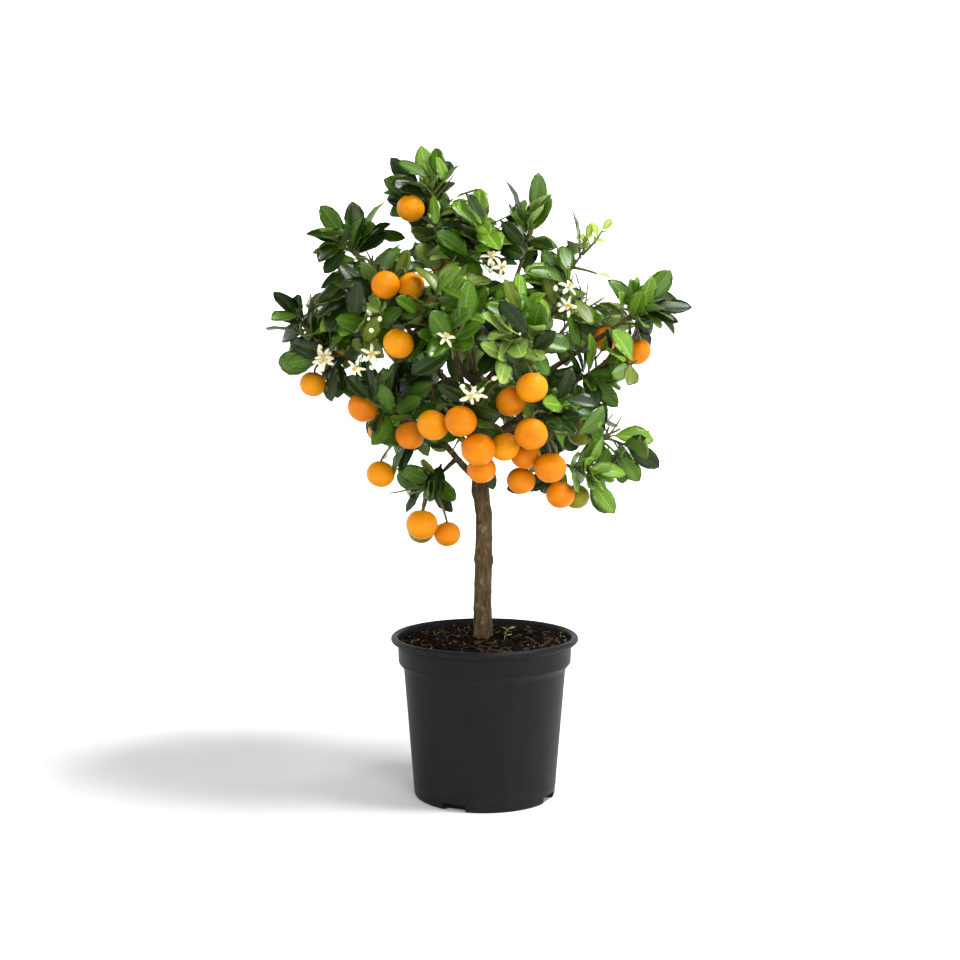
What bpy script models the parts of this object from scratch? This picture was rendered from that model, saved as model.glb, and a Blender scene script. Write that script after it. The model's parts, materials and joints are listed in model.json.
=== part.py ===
"""Calamondin orange tree, a round crown on a clear stem, in its nursery pot.

Metres, +Z up. The origin is the middle of the pot's flat underside, and the front of the tree faces -Y.
Every limb, twig, leaf and fruit is worked out from the tables of real sizes below.
"""

import math
import random

import bmesh
import bpy
from mathutils import Vector
from mathutils.bvhtree import BVHTree

UP = Vector((0, 0, 1))
GAP = 0.0003
POINT_LENGTH = 1e-5

# The pot: radii and heights of its outside.
POT_WALL = 0.0018
POT_FLOOR = 0.0030
POT_BASE_RADIUS = 0.0715
POT_BASE_FILLET = 0.0025
POT_NECK_RADIUS = 0.0820
POT_NECK_HEIGHT = 0.1305
POT_BAND_RADIUS = 0.0872
POT_BAND_HEIGHT = 0.1370
POT_BEAD_RADIUS = 0.0034
POT_BEAD_CENTRE = (0.0915, 0.1606)
POT_SEGMENTS = 32

POT_FILLET_STEPS = 3
POT_BEAD_ARC_DEG = (-110, 190)
POT_BEAD_STEPS = 7

# The drainage recesses in the corner between the pot's wall and its floor.
RECESS_COUNT = 4
RECESS_BELOW = 0.002
RECESS_BEYOND = 0.010
RECESS_FIRST_DEG = -25.0
RECESS_WIDTH = 0.0240
RECESS_HEIGHT = 0.0070
RECESS_DEPTH = 0.0095
DRAIN_WIDTH = 0.0150
DRAIN_HEIGHT = 0.0030
DRAIN_BELOW_TOP = 0.0006
DRAIN_OVERRUN = 0.0010

# The soil: a low mound with a flat middle, where the trunk is cut off.
SOIL_EDGE_HEIGHT = 0.1535
SOIL_TOP_HEIGHT = 0.1600
SOIL_FLAT_RADIUS = 0.0130
SOIL_MOUND_RINGS = 2
SOIL_EDGE_SLOPE = 0.06

# The trunk: heights and sideways offsets of its axis, then its radii.
TRUNK_AXIS = (
    (0.1603, -0.0015, 0.0000),
    (0.1970, -0.0021, 0.0005),
    (0.2320, -0.0013, 0.0000),
    (0.2670, -0.0008, -0.0008),
    (0.2850, -0.0006, -0.0006),
    (0.3000, -0.0028, 0.0000),
    (0.3180, -0.0048, 0.0012),
    (0.3600, -0.0056, 0.0040),
    (0.4000, -0.0074, 0.0090),
    (0.4300, -0.0100, 0.0140),
)
TRUNK_FOOT_RADIUS = 0.0092
TRUNK_TIP_RADIUS = 0.0052
TRUNK_FLARE = 0.0012
TRUNK_FLARE_HEIGHT = 0.0110
TRUNK_STEM_HEIGHT = 0.3200
TRUNK_STEM_RADIUS = 0.0079
TRUNK_KNOTS = ((0.2420, 0.0007), (0.3120, 0.0006), (0.1800, 0.0003))
TRUNK_KNOT_SPREAD = 0.0060
TRUNK_RINGS = 17
TRUNK_SIDES = 9

# Each mass of foliage: centre, radius, seeded fill twigs, and fruits that its rule adds.
MASSES = {
    "top": ((-0.052, -0.008, 0.592), 0.050, 2, 0),
    "upper_left": ((-0.128, -0.004, 0.545), 0.054, 1, 0),
    "upper_mid": ((-0.004, -0.036, 0.556), 0.050, 3, 0),
    "upper_right": ((0.044, 0.006, 0.560), 0.048, 2, 0),
    "right_high": ((0.094, 0.002, 0.540), 0.042, 1, 0),
    "right_far": ((0.150, 0.000, 0.487), 0.046, 1, 0),
    "right_mid": ((0.118, -0.020, 0.436), 0.050, 3, 0),
    "right_inner": ((0.076, -0.045, 0.498), 0.052, 5, 0),
    "left_outer": ((-0.166, -0.010, 0.458), 0.052, 2, 0),
    "left_inner": ((-0.102, -0.062, 0.492), 0.054, 4, 0),
    "front_centre": ((-0.038, -0.092, 0.474), 0.056, 5, 0),
    "front_right": ((0.026, -0.092, 0.462), 0.054, 5, 0),
    "low_centre": ((-0.008, -0.078, 0.388), 0.050, 3, 0),
    "low_right": ((0.060, -0.066, 0.388), 0.048, 3, 0),
    "right_low": ((0.120, 0.004, 0.362), 0.046, 2, 0),
    "low_right_tip": ((0.096, -0.040, 0.334), 0.038, 1, 0),
    "low_left": ((-0.090, -0.034, 0.392), 0.056, 3, 0),
    "hanging": ((-0.056, -0.018, 0.314), 0.034, 1, 0),
    "back_top": ((-0.030, 0.064, 0.560), 0.056, 4, 1),
    "back_left": ((-0.130, 0.078, 0.478), 0.060, 4, 2),
    "back_right": ((0.094, 0.080, 0.484), 0.060, 4, 2),
    "back_centre": ((-0.020, 0.120, 0.474), 0.060, 5, 1),
    "back_low_left": ((-0.074, 0.074, 0.388), 0.056, 4, 2),
    "back_low_right": ((0.050, 0.078, 0.386), 0.056, 4, 1),
    "heart": ((-0.014, 0.020, 0.488), 0.056, 4, 0),
}

# Each bough: what it grows from, where on it, and its foot radius. It runs to the mass of its name.
# On the trunk the place is a height, and on another bough it is a share of that bough's length.
BOUGHS = {
    "low_left": ("trunk", 0.322, 0.0040),
    "back_low_right": ("trunk", 0.330, 0.0038),
    "low_right": ("trunk", 0.338, 0.0040),
    "back_low_left": ("trunk", 0.346, 0.0038),
    "low_centre": ("trunk", 0.352, 0.0034),
    "right_mid": ("trunk", 0.358, 0.0038),
    "left_outer": ("trunk", 0.363, 0.0040),
    "back_right": ("trunk", 0.369, 0.0036),
    "front_centre": ("trunk", 0.372, 0.0034),
    "back_left": ("trunk", 0.378, 0.0036),
    "front_right": ("trunk", 0.383, 0.0034),
    "right_far": ("trunk", 0.388, 0.0036),
    "back_centre": ("trunk", 0.392, 0.0034),
    "upper_left": ("trunk", 0.397, 0.0034),
    "right_inner": ("trunk", 0.403, 0.0030),
    "upper_right": ("trunk", 0.413, 0.0034),
    "top": ("trunk", 0.420, 0.0034),
    "hanging": ("low_left", 0.42, 0.0028),
    "low_right_tip": ("low_right", 0.45, 0.0028),
    "right_low": ("right_mid", 0.38, 0.0028),
    "left_inner": ("left_outer", 0.36, 0.0028),
    "right_high": ("upper_right", 0.52, 0.0025),
    "upper_mid": ("top", 0.42, 0.0024),
    "back_top": ("top", 0.26, 0.0026),
}
BOUGH_TAPER = 0.62
BOUGH_POINTS = 5
BOUGH_SIDES = 5
BOUGH_LIFT = 0.55
BOUGH_SAG = -0.10
BOUGH_LEAVING_SHARE = 0.36
BOUGH_ENTERING_SHARE = 0.34
BOUGH_CUT_GAP = 0.0004

# How a bough comes into its mass: its direction is a blend of straight, up and outwards.
ENTRY_STRAIGHT = 1.3
ENTRY_UP = 0.2
ENTRY_OUTWARD = 0.5
ENTRY_REACH = 0.70
ENTRY_MARGIN = 0.003
ENTRY_STEP = 0.001

# Leading shoots, by the place of the last leaf's tip: they give the crown its outline.
LEADERS = {
    "top": ((-0.062, -0.010, 0.651), (-0.093, -0.014, 0.638), (-0.027, -0.016, 0.633)),
    "upper_left": (
        (-0.163, 0.002, 0.594),
        (-0.174, -0.012, 0.572),
        (-0.129, 0.000, 0.598),
        (-0.103, 0.004, 0.602),
    ),
    "upper_mid": ((-0.007, -0.036, 0.608), (0.016, -0.050, 0.590)),
    "upper_right": ((0.022, 0.000, 0.622), (0.054, 0.002, 0.626), (0.064, 0.012, 0.604)),
    "right_high": ((0.082, 0.002, 0.594), (0.111, 0.000, 0.590), (0.127, -0.008, 0.578)),
    "right_far": (
        (0.124, -0.004, 0.522),
        (0.150, 0.008, 0.524),
        (0.185, 0.000, 0.530),
        (0.206, -0.002, 0.496),
    ),
    "right_mid": ((0.132, -0.022, 0.396), (0.160, -0.020, 0.440)),
    "left_outer": (
        (-0.208, 0.000, 0.512),
        (-0.212, -0.006, 0.476),
        (-0.196, 0.000, 0.430),
        (-0.160, -0.030, 0.404),
    ),
    "right_low": ((0.170, 0.002, 0.364), (0.177, 0.006, 0.334)),
    "low_right_tip": ((0.131, -0.044, 0.331), (0.128, -0.046, 0.293)),
    "hanging": ((-0.086, -0.024, 0.288), (-0.025, -0.020, 0.298)),
    "low_left": ((-0.145, -0.030, 0.406), (-0.090, -0.046, 0.330)),
}

# Fruits that show, by the mass that carries them: centre and radius.
FRUITS = {
    "top": ((-0.0715, -0.035, 0.5881, 0.0133),),
    "left_inner": (
        (-0.0923, -0.100, 0.5125, 0.0132),
        (-0.0693, -0.082, 0.5120, 0.0129),
    ),
    "front_centre": ((-0.0800, -0.108, 0.4583, 0.0142),),
    "front_right": ((0.0437, -0.116, 0.4178, 0.0145),),
    "left_outer": ((-0.1710, -0.006, 0.4175, 0.0130),),
    "low_left": (
        (-0.1182, -0.050, 0.3961, 0.0145),
        (-0.1026, -0.030, 0.3299, 0.0137),
        (-0.0720, -0.060, 0.3700, 0.0138),
    ),
    "low_centre": (
        (-0.0485, -0.100, 0.3823, 0.0148),
        (-0.0221, -0.118, 0.3868, 0.0148),
        (-0.0059, -0.108, 0.3599, 0.0158),
        (-0.0029, -0.078, 0.3385, 0.0136),
        (0.0190, -0.090, 0.3610, 0.0138),
        (0.0250, -0.090, 0.4041, 0.0146),
    ),
    "low_right": (
        (0.0432, -0.113, 0.3746, 0.0153),
        (0.0390, -0.072, 0.3520, 0.0142),
        (0.0353, -0.056, 0.3260, 0.0136),
        (0.0622, -0.088, 0.3411, 0.0150),
    ),
    "low_right_tip": (
        (0.0732, -0.058, 0.3122, 0.0136),
        (0.0905, -0.030, 0.3077, 0.0126),
    ),
    "hanging": (
        (-0.0621, -0.030, 0.2800, 0.0155),
        (-0.0372, -0.020, 0.2691, 0.0130),
        (-0.0640, -0.001, 0.2700, 0.0132),
    ),
    "right_mid": ((0.1508, -0.012, 0.4500, 0.0134),),
    "right_low": ((0.0945, -0.020, 0.3692, 0.0124),),
}
FRUIT_RINGS = 4
FRUIT_SIDES = 7
FRUIT_RADIUS = 0.0140
FRUIT_FLATNESS = 0.93
FRUIT_CROOK = 0.0070
HIDDEN_TRIES = 6
HIDDEN_TURN = 1.1
HIDDEN_DROP = (0.1, 0.8)
HIDDEN_SIZE = (0.92, 1.08)
HIDDEN_REACH = (0.62, 0.85)
FRUIT_APART = 0.001
FRUIT_OFF_LIMB = 0.002

# Twigs and leaves
STEM_RADIUS = 0.0021
STEM_SIDES = 4
STEM_TAPER = (1.0, 0.95, 0.85, 0.60)
STEM_IN_BOUGH_SHARE = 0.98
STEM_AHEAD = 0.6
STEM_UP = 0.5
STEM_REACH = 0.42
STEM_FIRST_SHARE = 0.22
STEM_STEP_SHARE = 0.04
STEM_STEPS = 20
STALK_TAPER = (1.0, 0.85, 0.7)
STALK_LEAN = 0.7
STALK_DEPTH = 0.70
TWIG_FLAT = 0.6
TWIG_HALF = 0.5
LEADER_RISE = 0.10
FILL_RISE = 0.18
TWIG_RADIUS = 0.0015
TWIG_TIP_SHARE = 0.65
TWIG_SIDES = 3
TWIG_POINTS = 3
TWIG_SET_BACK = 0.20
STEM_LEAVES = 3
STALK_LEAVES = 3
LEADER_LEAVES = 5
FILL_LEAVES = 5
LEAF_TRIES = 3
TIP_SHARE = 0.985
LEAF_LENGTH = 0.0490
LEADER_LEAF_SHARE = 0.86
LEAF_SPREAD = 0.12
LEAF_WIDTH_SHARE = 0.56
LEAF_WIDTH_SPREAD = 0.10
LEAF_THICKNESS = 0.0011
LEAF_WIDEST_SHARE = 0.50
LEAF_DROOP_SHARE = 0.10
LEAF_SUNK = 0.0003
LEAF_ANGLE_FOOT_DEG = 68.0
LEAF_ANGLE_TIP_DEG = 38.0
GOLDEN = math.radians(137.508)
LEAF_SWING = math.radians(50.0)
LEAF_FACES = ((0, 2, 4), (2, 3, 4), (3, 1, 4), (1, 0, 4), (2, 0, 1), (1, 3, 2))
CELL_GAP = 0.0005
LIMB_CLEARANCE = 0.0012
LEAF_ROOM = 0.0007
LEAF_EDGE_SHARE = 0.16
LEAF_STALK_SHARE = 0.20
LEAF_BARE_SHARE = 0.14
LEAF_FIRST_SHARE = 0.34
STALK_FIRST_SHARE = 0.20
STEM_LEAF_SHARES = (0.40, 0.90)
LEAF_UP = 0.12
LEAF_TIP_LEAN = 0.12
LEAF_LOOK = (0.7, 0.6, 0.4)
FILL_REACH = 0.80
FILL_SPAN = (0.62, 0.80)
FILL_LEAST = 0.3
FILL_BACKWARD = -0.75
MASS_REACH = 1.34
LEADER_SLACK = 0.004
SIDE_REFERENCE = Vector((0.31, 0.17, 0.93))
CROWN_AXIS = Vector((-0.010, 0.010, 0.440))
CROWN_LOW = Vector((-0.2160, -0.1700, 0.2500))
CROWN_HIGH = Vector((0.2060, 0.1900, 0.6500))

COLOURS = {
    "pot": (0.030, 0.032, 0.036, 0.45),
    "soil": (0.030, 0.020, 0.013, 0.95),
    "bark": (0.130, 0.085, 0.050, 0.85),
    "foliage": (0.045, 0.110, 0.022, 0.35),
}
SHARP_ANGLE = math.radians(40)


def bezier(points, share):
    """The point of a Bezier curve at that share of its length in parameter, by repeated mixing."""
    row = list(points)
    while len(row) > 1:
        row = [a.lerp(b, share) for a, b in zip(row, row[1:])]
    return row[0]


def sampled(points, count):
    """Points along the curve at even steps."""
    return [bezier(points, i / (count - 1)) for i in range(count)]


def trunk_point(height):
    """The trunk's axis at a height, eased between the named heights."""
    for (low, x0, y0), (high, x1, y1) in zip(TRUNK_AXIS, TRUNK_AXIS[1:]):
        if height <= high + 1e-9:
            share = max(0.0, (height - low) / (high - low))
            ease = share * share * (3 - 2 * share)
            return Vector((x0 + (x1 - x0) * ease, y0 + (y1 - y0) * ease, height))
    return Vector((TRUNK_AXIS[-1][1], TRUNK_AXIS[-1][2], height))


def trunk_radius(height):
    """Taper, root flare and the swellings where old side shoots were cut off."""
    foot, tip = TRUNK_AXIS[0][0], TRUNK_AXIS[-1][0]
    if height < TRUNK_STEM_HEIGHT:
        share = (height - foot) / (TRUNK_STEM_HEIGHT - foot)
        radius = TRUNK_FOOT_RADIUS + (TRUNK_STEM_RADIUS - TRUNK_FOOT_RADIUS) * share
    else:
        share = (height - TRUNK_STEM_HEIGHT) / (tip - TRUNK_STEM_HEIGHT)
        radius = TRUNK_STEM_RADIUS + (TRUNK_TIP_RADIUS - TRUNK_STEM_RADIUS) * share
    radius += TRUNK_FLARE * math.exp(-(height - foot) / TRUNK_FLARE_HEIGHT)
    for knot, swell in TRUNK_KNOTS:
        radius += swell * math.exp(-(((height - knot) / TRUNK_KNOT_SPREAD) ** 2))
    return radius


def segment_distance(a, b, c, d):
    """The least distance between segments ab and cd."""
    u, v, w = b - a, d - c, a - c
    uu, uv, vv, uw, vw = u.dot(u), u.dot(v), v.dot(v), u.dot(w), v.dot(w)
    den = uu * vv - uv * uv
    s = min(1.0, max(0.0, (uv * vw - vv * uw) / den)) if den > 1e-16 else 0.0
    t = min(1.0, max(0.0, (uv * s + vw) / vv)) if vv > 1e-16 else 0.0
    s = min(1.0, max(0.0, (uv * t - uw) / uu)) if uu > 1e-16 else 0.0
    return (a + u * s - c - v * t).length


class Limb:
    """A tapering limb along a path, which other things keep clear of."""

    def __init__(self, name, points, radii):
        self.name, self.points, self.radii = name, points, radii

    def clearance(self, a, b):
        """How far segment ab stays outside this limb's surface."""
        return min(
            segment_distance(a, b, p, q) - max(r, s)
            for p, q, r, s in zip(self.points, self.points[1:], self.radii, self.radii[1:])
        )

    def at(self, share):
        """The axis point, the radius and the direction at a share of the limb's length."""
        place = share * (len(self.points) - 1)
        i = min(int(place), len(self.points) - 2)
        t = place - i
        return (
            self.points[i].lerp(self.points[i + 1], t),
            self.radii[i] * (1 - t) + self.radii[i + 1] * t,
            (self.points[i + 1] - self.points[i]).normalized(),
        )


def in_cell(mass, point, margin=CELL_GAP):
    """True where the point is in this mass's own space: its side of the plane towards each neighbour."""
    centre, radius = Vector(MASSES[mass][0]), MASSES[mass][1]
    own = (point - centre).length_squared - radius**2
    for other, (place, size, _, _) in MASSES.items():
        if other == mass:
            continue
        there = Vector(place)
        power = (point - there).length_squared - size**2
        if power - own < 2 * (there - centre).length * margin:
            return False
    return True


def entry_of(mass, foot):
    """Where the bough ends, on the line to the mass's centre, and the direction of that line."""
    centre, radius = Vector(MASSES[mass][0]), MASSES[mass][1]
    direction = (centre - foot).normalized()
    if mass in BOUGHS:
        outward = (centre - CROWN_AXIS).normalized()
        direction = (direction * ENTRY_STRAIGHT + UP * ENTRY_UP + outward * ENTRY_OUTWARD).normalized()
    reach = 0.0
    while reach < ENTRY_REACH * radius:
        ahead = centre - direction * (reach + 2 * ENTRY_STEP)
        if not in_cell(mass, ahead, ENTRY_MARGIN):
            break
        reach += ENTRY_STEP
    return centre - direction * reach, direction


def make_limbs():
    """The trunk and every bough, as paths with radii."""
    foot, tip = TRUNK_AXIS[0][0], TRUNK_AXIS[-1][0]
    heights = [foot + (tip - foot) * i / (TRUNK_RINGS - 1) for i in range(TRUNK_RINGS)]
    limbs = {"trunk": Limb("trunk", [trunk_point(h) for h in heights], [trunk_radius(h) for h in heights])}
    for mass, (parent, place, radius) in BOUGHS.items():
        if parent == "trunk":
            start = trunk_point(place)
            along = UP
        else:
            start, _, along = limbs[parent].at(place)
        end, direction = entry_of(mass, start)
        span = (end - start).length
        away = end - start
        away = (away - along * away.dot(along)).normalized()
        lift = BOUGH_LIFT if end.z > start.z else BOUGH_SAG
        leaving = (away + UP * lift).normalized()
        first = start + leaving * span * BOUGH_LEAVING_SHARE
        last = end - direction * span * BOUGH_ENTERING_SHARE
        points = sampled([start, first, last, end], BOUGH_POINTS)
        radii = [radius * (1 - (1 - BOUGH_TAPER) * i / (BOUGH_POINTS - 1)) for i in range(BOUGH_POINTS)]
        limbs[mass] = Limb("bough_" + mass, points, radii)
    return limbs


def frame_across(along):
    """Two directions square to the given one and to each other."""
    side = along.cross(SIDE_REFERENCE).normalized()
    return side, along.cross(side)


class Mass:
    """What one mass of foliage is made of: its stem, twigs, leaves and fruits."""

    def __init__(self, name, number):
        self.name = name
        self.centre = Vector(MASSES[name][0])
        self.radius = MASSES[name][1]
        self.outward = (self.centre - CROWN_AXIS).normalized()
        self.random = random.Random(1000 + 37 * number)
        self.stem = None
        self.stem_direction = None
        self.leaders = []
        self.stalks = []
        self.fillers = []
        self.fruits = []
        self.leaves = []
        self.blades = []


class Around:
    """What every mass keeps clear of: the limbs, all fruits, and the twigs of the other masses."""

    def __init__(self, limbs):
        self.limbs = list(limbs.values())
        self.balls = [ball for group in FRUITS.values() for ball in group]
        self.taken = []

    def wood(self, mass):
        """The limbs, and the twigs of every other mass."""
        return self.limbs + [twig for owner, twig in self.taken if owner != mass.name]

    def own(self, mass, carrier):
        """The mass's own twigs, but for the one that carries the leaf."""
        return [twig for owner, twig in self.taken if owner == mass.name and twig is not carrier]


def is_clear(segments, limbs, balls, margin):
    """True if every segment stays clear of those limbs and those fruits."""
    for a, b in segments:
        if any(limb.clearance(a, b) < margin for limb in limbs):
            return False
        for ball in balls:
            centre = Vector(ball[:3])
            if segment_distance(a, b, centre, centre + UP * POINT_LENGTH) < ball[3] + margin:
                return False
    return True


def paired(points):
    """The segments between neighbouring points."""
    return list(zip(points, points[1:]))


def make_stem(mass, limbs):
    """The stem runs on from the bough's tip, or from the trunk's, through the middle of the mass."""
    limb = limbs.get(mass.name, limbs["trunk"])
    direction = (limb.points[-1] - limb.points[-2]).normalized()
    if mass.name in BOUGHS:
        _, direction = entry_of(mass.name, limb.points[0])
    start = limb.points[-1] + direction * GAP
    end = mass.centre + (direction * STEM_AHEAD + UP * STEM_UP).normalized() * mass.radius * STEM_REACH
    foot = min(STEM_RADIUS, limb.radii[-1] * STEM_IN_BOUGH_SHARE)
    points = [start, start.lerp(mass.centre, 0.5), mass.centre.copy(), end]
    mass.stem = Limb(mass.name, points, [foot * share for share in STEM_TAPER])
    mass.stem_direction = direction


def foot_on_stem(mass, point):
    """Where a twig to that point leaves the stem: some way below the stem's nearest place to it."""
    shares = [STEM_FIRST_SHARE + STEM_STEP_SHARE * i for i in range(STEM_STEPS)]
    nearest = min(shares, key=lambda share: (mass.stem.at(share)[0] - point).length)
    return mass.stem.at(max(shares[0], nearest - TWIG_SET_BACK))[0]


def twig_to(mass, tip, rise):
    """A twig from the stem to its tip. It leaves flat and turns up, by the share that rise gives."""
    start = foot_on_stem(mass, tip)
    away = tip - start
    bend = start + Vector((away.x * TWIG_FLAT, away.y * TWIG_FLAT, away.z * (TWIG_HALF - rise)))
    points = sampled([start, bend, tip], TWIG_POINTS)
    radii = [TWIG_RADIUS * (1 - (1 - TWIG_TIP_SHARE) * i / (TWIG_POINTS - 1)) for i in range(TWIG_POINTS)]
    return Limb(mass.name, points, radii)


def leader_to(mass, leaf_tip):
    """The twig of a leading shoot, which ends a leaf's length short of its last leaf's tip."""
    start = foot_on_stem(mass, leaf_tip)
    back = (leaf_tip - start).normalized() * LEAF_LENGTH * LEADER_LEAF_SHARE
    return twig_to(mass, leaf_tip - back, LEADER_RISE)


def hidden_fruits(mass, count, around):
    """Fruits on the sides that the front doesn't show: low and outside in their mass."""
    level = Vector((mass.outward.x, mass.outward.y, 0)).normalized()
    side = Vector((-level.y, level.x, 0))
    for _ in range(count * HIDDEN_TRIES):
        if len(mass.fruits) == count:
            return
        turn = mass.random.uniform(-HIDDEN_TURN, HIDDEN_TURN)
        drop = UP * mass.random.uniform(*HIDDEN_DROP)
        direction = (level * math.cos(turn) + side * math.sin(turn) - drop).normalized()
        size = FRUIT_RADIUS * mass.random.uniform(*HIDDEN_SIZE)
        centre = mass.centre + direction * mass.radius * mass.random.uniform(*HIDDEN_REACH)
        near = min((Vector(ball[:3]) - centre).length - ball[3] for ball in around.balls)
        if near < size + FRUIT_APART or not in_cell(mass.name, centre, size + FRUIT_APART):
            continue
        if is_clear([(centre, centre + UP * POINT_LENGTH)], around.limbs, (), size + FRUIT_OFF_LIMB):
            mass.fruits.append((*centre, size))
            around.balls.append(mass.fruits[-1])


def stalk_for(mass, ball):
    """The fruiting twig: from the stem to a crook above the fruit, then down into it."""
    centre, size = Vector(ball[:3]), ball[3]
    start = foot_on_stem(mass, centre + UP * size)
    hang = (UP + (start - centre).normalized() * STALK_LEAN).normalized()
    points = [start, centre + hang * (size + FRUIT_CROOK), centre + hang * size * STALK_DEPTH]
    return Limb(mass.name, points, [TWIG_RADIUS * share for share in STALK_TAPER])


def leaf_shape(root, along, face, length, width):
    """The leaf's five corners: root, left, right and tip, and the thick place on its midrib."""
    across = face.cross(along).normalized()
    middle = root + along * length * LEAF_WIDEST_SHARE
    return (
        root - along * LEAF_SUNK,
        middle + across * width / 2,
        middle - across * width / 2,
        root + along * length - face * length * LEAF_DROOP_SHARE,
        middle + face * LEAF_THICKNESS,
    )


def leaf_lines(corners):
    """Lines that stand for the blade in the tests of clearance: the midrib, the edges and the width."""
    root, left, right, tip, top = corners
    start = root.lerp(tip, LEAF_STALK_SHARE)
    edges = [(start, left), (left, tip), (start, right), (right, tip)]
    return [(start, top), (top, tip), (left, right), *edges]


def leaf_tree(corners):
    """The blade grown a little all round, without its sunk root, to find what it would cross."""
    middle = sum(corners[1:], Vector()) / 4
    grown = [corner + (corner - middle).normalized() * LEAF_ROOM for corner in corners]
    grown[0] = corners[0].lerp(corners[3], LEAF_BARE_SHARE)
    return BVHTree.FromPolygons(grown, LEAF_FACES)


def in_crown(point):
    """True inside the box that the crown fills."""
    return all(low <= value <= high for low, value, high in zip(CROWN_LOW, point, CROWN_HIGH))


def is_free(mass, twig, corners, width, limit, around):
    """True where the blade stays in the mass's space and touches no limb, fruit, other twig or leaf."""
    if not all(in_crown(corner) for corner in corners):
        return False
    if not all(in_cell(mass.name, corner) for corner in corners):
        return False
    if max((corner - mass.centre).length for corner in corners[1:]) > limit:
        return False
    tree = leaf_tree(corners)
    if any(tree.overlap(other) for other in mass.blades):
        return False
    lines = leaf_lines(corners)
    if not is_clear(lines, around.wood(mass), (), width * LEAF_EDGE_SHARE + LIMB_CLEARANCE):
        return False
    if not is_clear(lines, around.own(mass, twig), around.balls, LIMB_CLEARANCE):
        return False
    mass.blades.append(tree)
    return True


def try_leaf(mass, twig, share, turn, size, limit, around):
    """One leaf on a twig at a share of its length, turned round it, unless something is in its way."""
    last = share >= TIP_SHARE
    root, _, along = twig.at(share)
    side, other = frame_across(along)
    radial = side * math.cos(turn) + other * math.sin(turn)
    lean = math.radians(LEAF_ANGLE_FOOT_DEG + (LEAF_ANGLE_TIP_DEG - LEAF_ANGLE_FOOT_DEG) * share)
    direction = (along * math.cos(lean) + radial * math.sin(lean) + UP * LEAF_UP).normalized()
    if last:
        direction = (along + radial * LEAF_TIP_LEAN).normalized()
    look = along * LEAF_LOOK[0] + UP * LEAF_LOOK[1] + mass.outward * LEAF_LOOK[2]
    face = (look - direction * look.dot(direction)).normalized()
    length = size * (1 + mass.random.uniform(-1, 1) * (0 if last else LEAF_SPREAD))
    width = length * LEAF_WIDTH_SHARE * (1 + mass.random.uniform(-1, 1) * LEAF_WIDTH_SPREAD)
    corners = leaf_shape(root, direction, face, length, width)
    if is_free(mass, twig, corners, width, limit, around):
        mass.leaves.append(corners)
        return True
    return False


def leaves_on(mass, twig, count, size, limit, around, first=LEAF_FIRST_SHARE, end=TIP_SHARE):
    """Leaves in a spiral up the twig, spreading at its foot and upright at its tip, within the limit."""
    turn = mass.random.uniform(0, 2 * math.pi)
    for k in range(count):
        share = first + (end - first) * k / (count - 1)
        turn += GOLDEN
        for attempt in range(LEAF_TRIES):
            if try_leaf(mass, twig, share, turn + attempt * LEAF_SWING, size, limit, around):
                break


def fill_direction(number, count, phase):
    """Directions spread evenly over a sphere by the golden angle."""
    z = 1 - 2 * (number + 0.5) / count
    ring = math.sqrt(1 - z * z)
    angle = GOLDEN * number + phase
    return Vector((ring * math.cos(angle), ring * math.sin(angle), z))


def fill_twigs(mass, count, around):
    """Twigs from the stem to points spread evenly round the mass, kept short of its neighbours."""
    phase = mass.random.uniform(0, 2 * math.pi)
    wood = around.wood(mass)
    leaf = LEAF_LENGTH * FILL_REACH
    for number in range(count):
        direction = fill_direction(number, count, phase)
        reach = mass.radius * mass.random.uniform(*FILL_SPAN)
        reach = min(reach, mass.radius * MASS_REACH - leaf)
        while reach > FILL_LEAST * mass.radius:
            if in_cell(mass.name, mass.centre + direction * (reach + leaf)):
                break
            reach -= 2 * ENTRY_STEP
        twig = twig_to(mass, mass.centre + direction * reach, FILL_RISE)
        inside = all(in_cell(mass.name, point, ENTRY_MARGIN) for point in twig.points)
        backward = direction.dot(mass.stem_direction) < FILL_BACKWARD
        if backward or not inside:
            continue
        if is_clear(paired(twig.points), wood, around.balls, TWIG_RADIUS + LIMB_CLEARANCE):
            mass.fillers.append(twig)
            around.taken.append((mass.name, twig))


def grow_wood(masses, limbs, around):
    """The stems, then the leading shoots and fruiting twigs, and then twigs where there is room."""
    for mass in masses:
        make_stem(mass, limbs)
        mass.fruits = list(FRUITS.get(mass.name, ()))
        hidden_fruits(mass, len(mass.fruits) + MASSES[mass.name][3], around)
        around.taken.append((mass.name, mass.stem))
    for mass in masses:
        mass.leaders = [leader_to(mass, Vector(tip)) for tip in LEADERS.get(mass.name, ())]
        mass.stalks = [stalk_for(mass, ball) for ball in mass.fruits]
        around.taken += [(mass.name, twig) for twig in mass.leaders + mass.stalks]
    for mass in masses:
        fill_twigs(mass, MASSES[mass.name][2], around)


def grow_leaves(mass, around):
    """Leaves on every twig of a mass, small ones on its leading shoots, which show against the sky."""
    small = LEAF_LENGTH * LEADER_LEAF_SHARE
    limit = mass.radius * MASS_REACH
    for twig, tip in zip(mass.leaders, LEADERS.get(mass.name, ())):
        own = (Vector(tip) - mass.centre).length + LEADER_SLACK
        leaves_on(mass, twig, LEADER_LEAVES, small, own, around)
    for twig in mass.stalks:
        leaves_on(mass, twig, STALK_LEAVES, small, limit, around, STALK_FIRST_SHARE)
    for twig in mass.fillers:
        leaves_on(mass, twig, FILL_LEAVES, LEAF_LENGTH, limit, around)
    leaves_on(mass, mass.stem, STEM_LEAVES, small, limit, around, *STEM_LEAF_SHARES)


def grow_crown(limbs):
    """Every mass, with its wood and then its leaves."""
    masses = [Mass(name, number) for number, name in enumerate(MASSES)]
    around = Around(limbs)
    grow_wood(masses, limbs, around)
    for mass in masses:
        grow_leaves(mass, around)
    return masses


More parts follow.
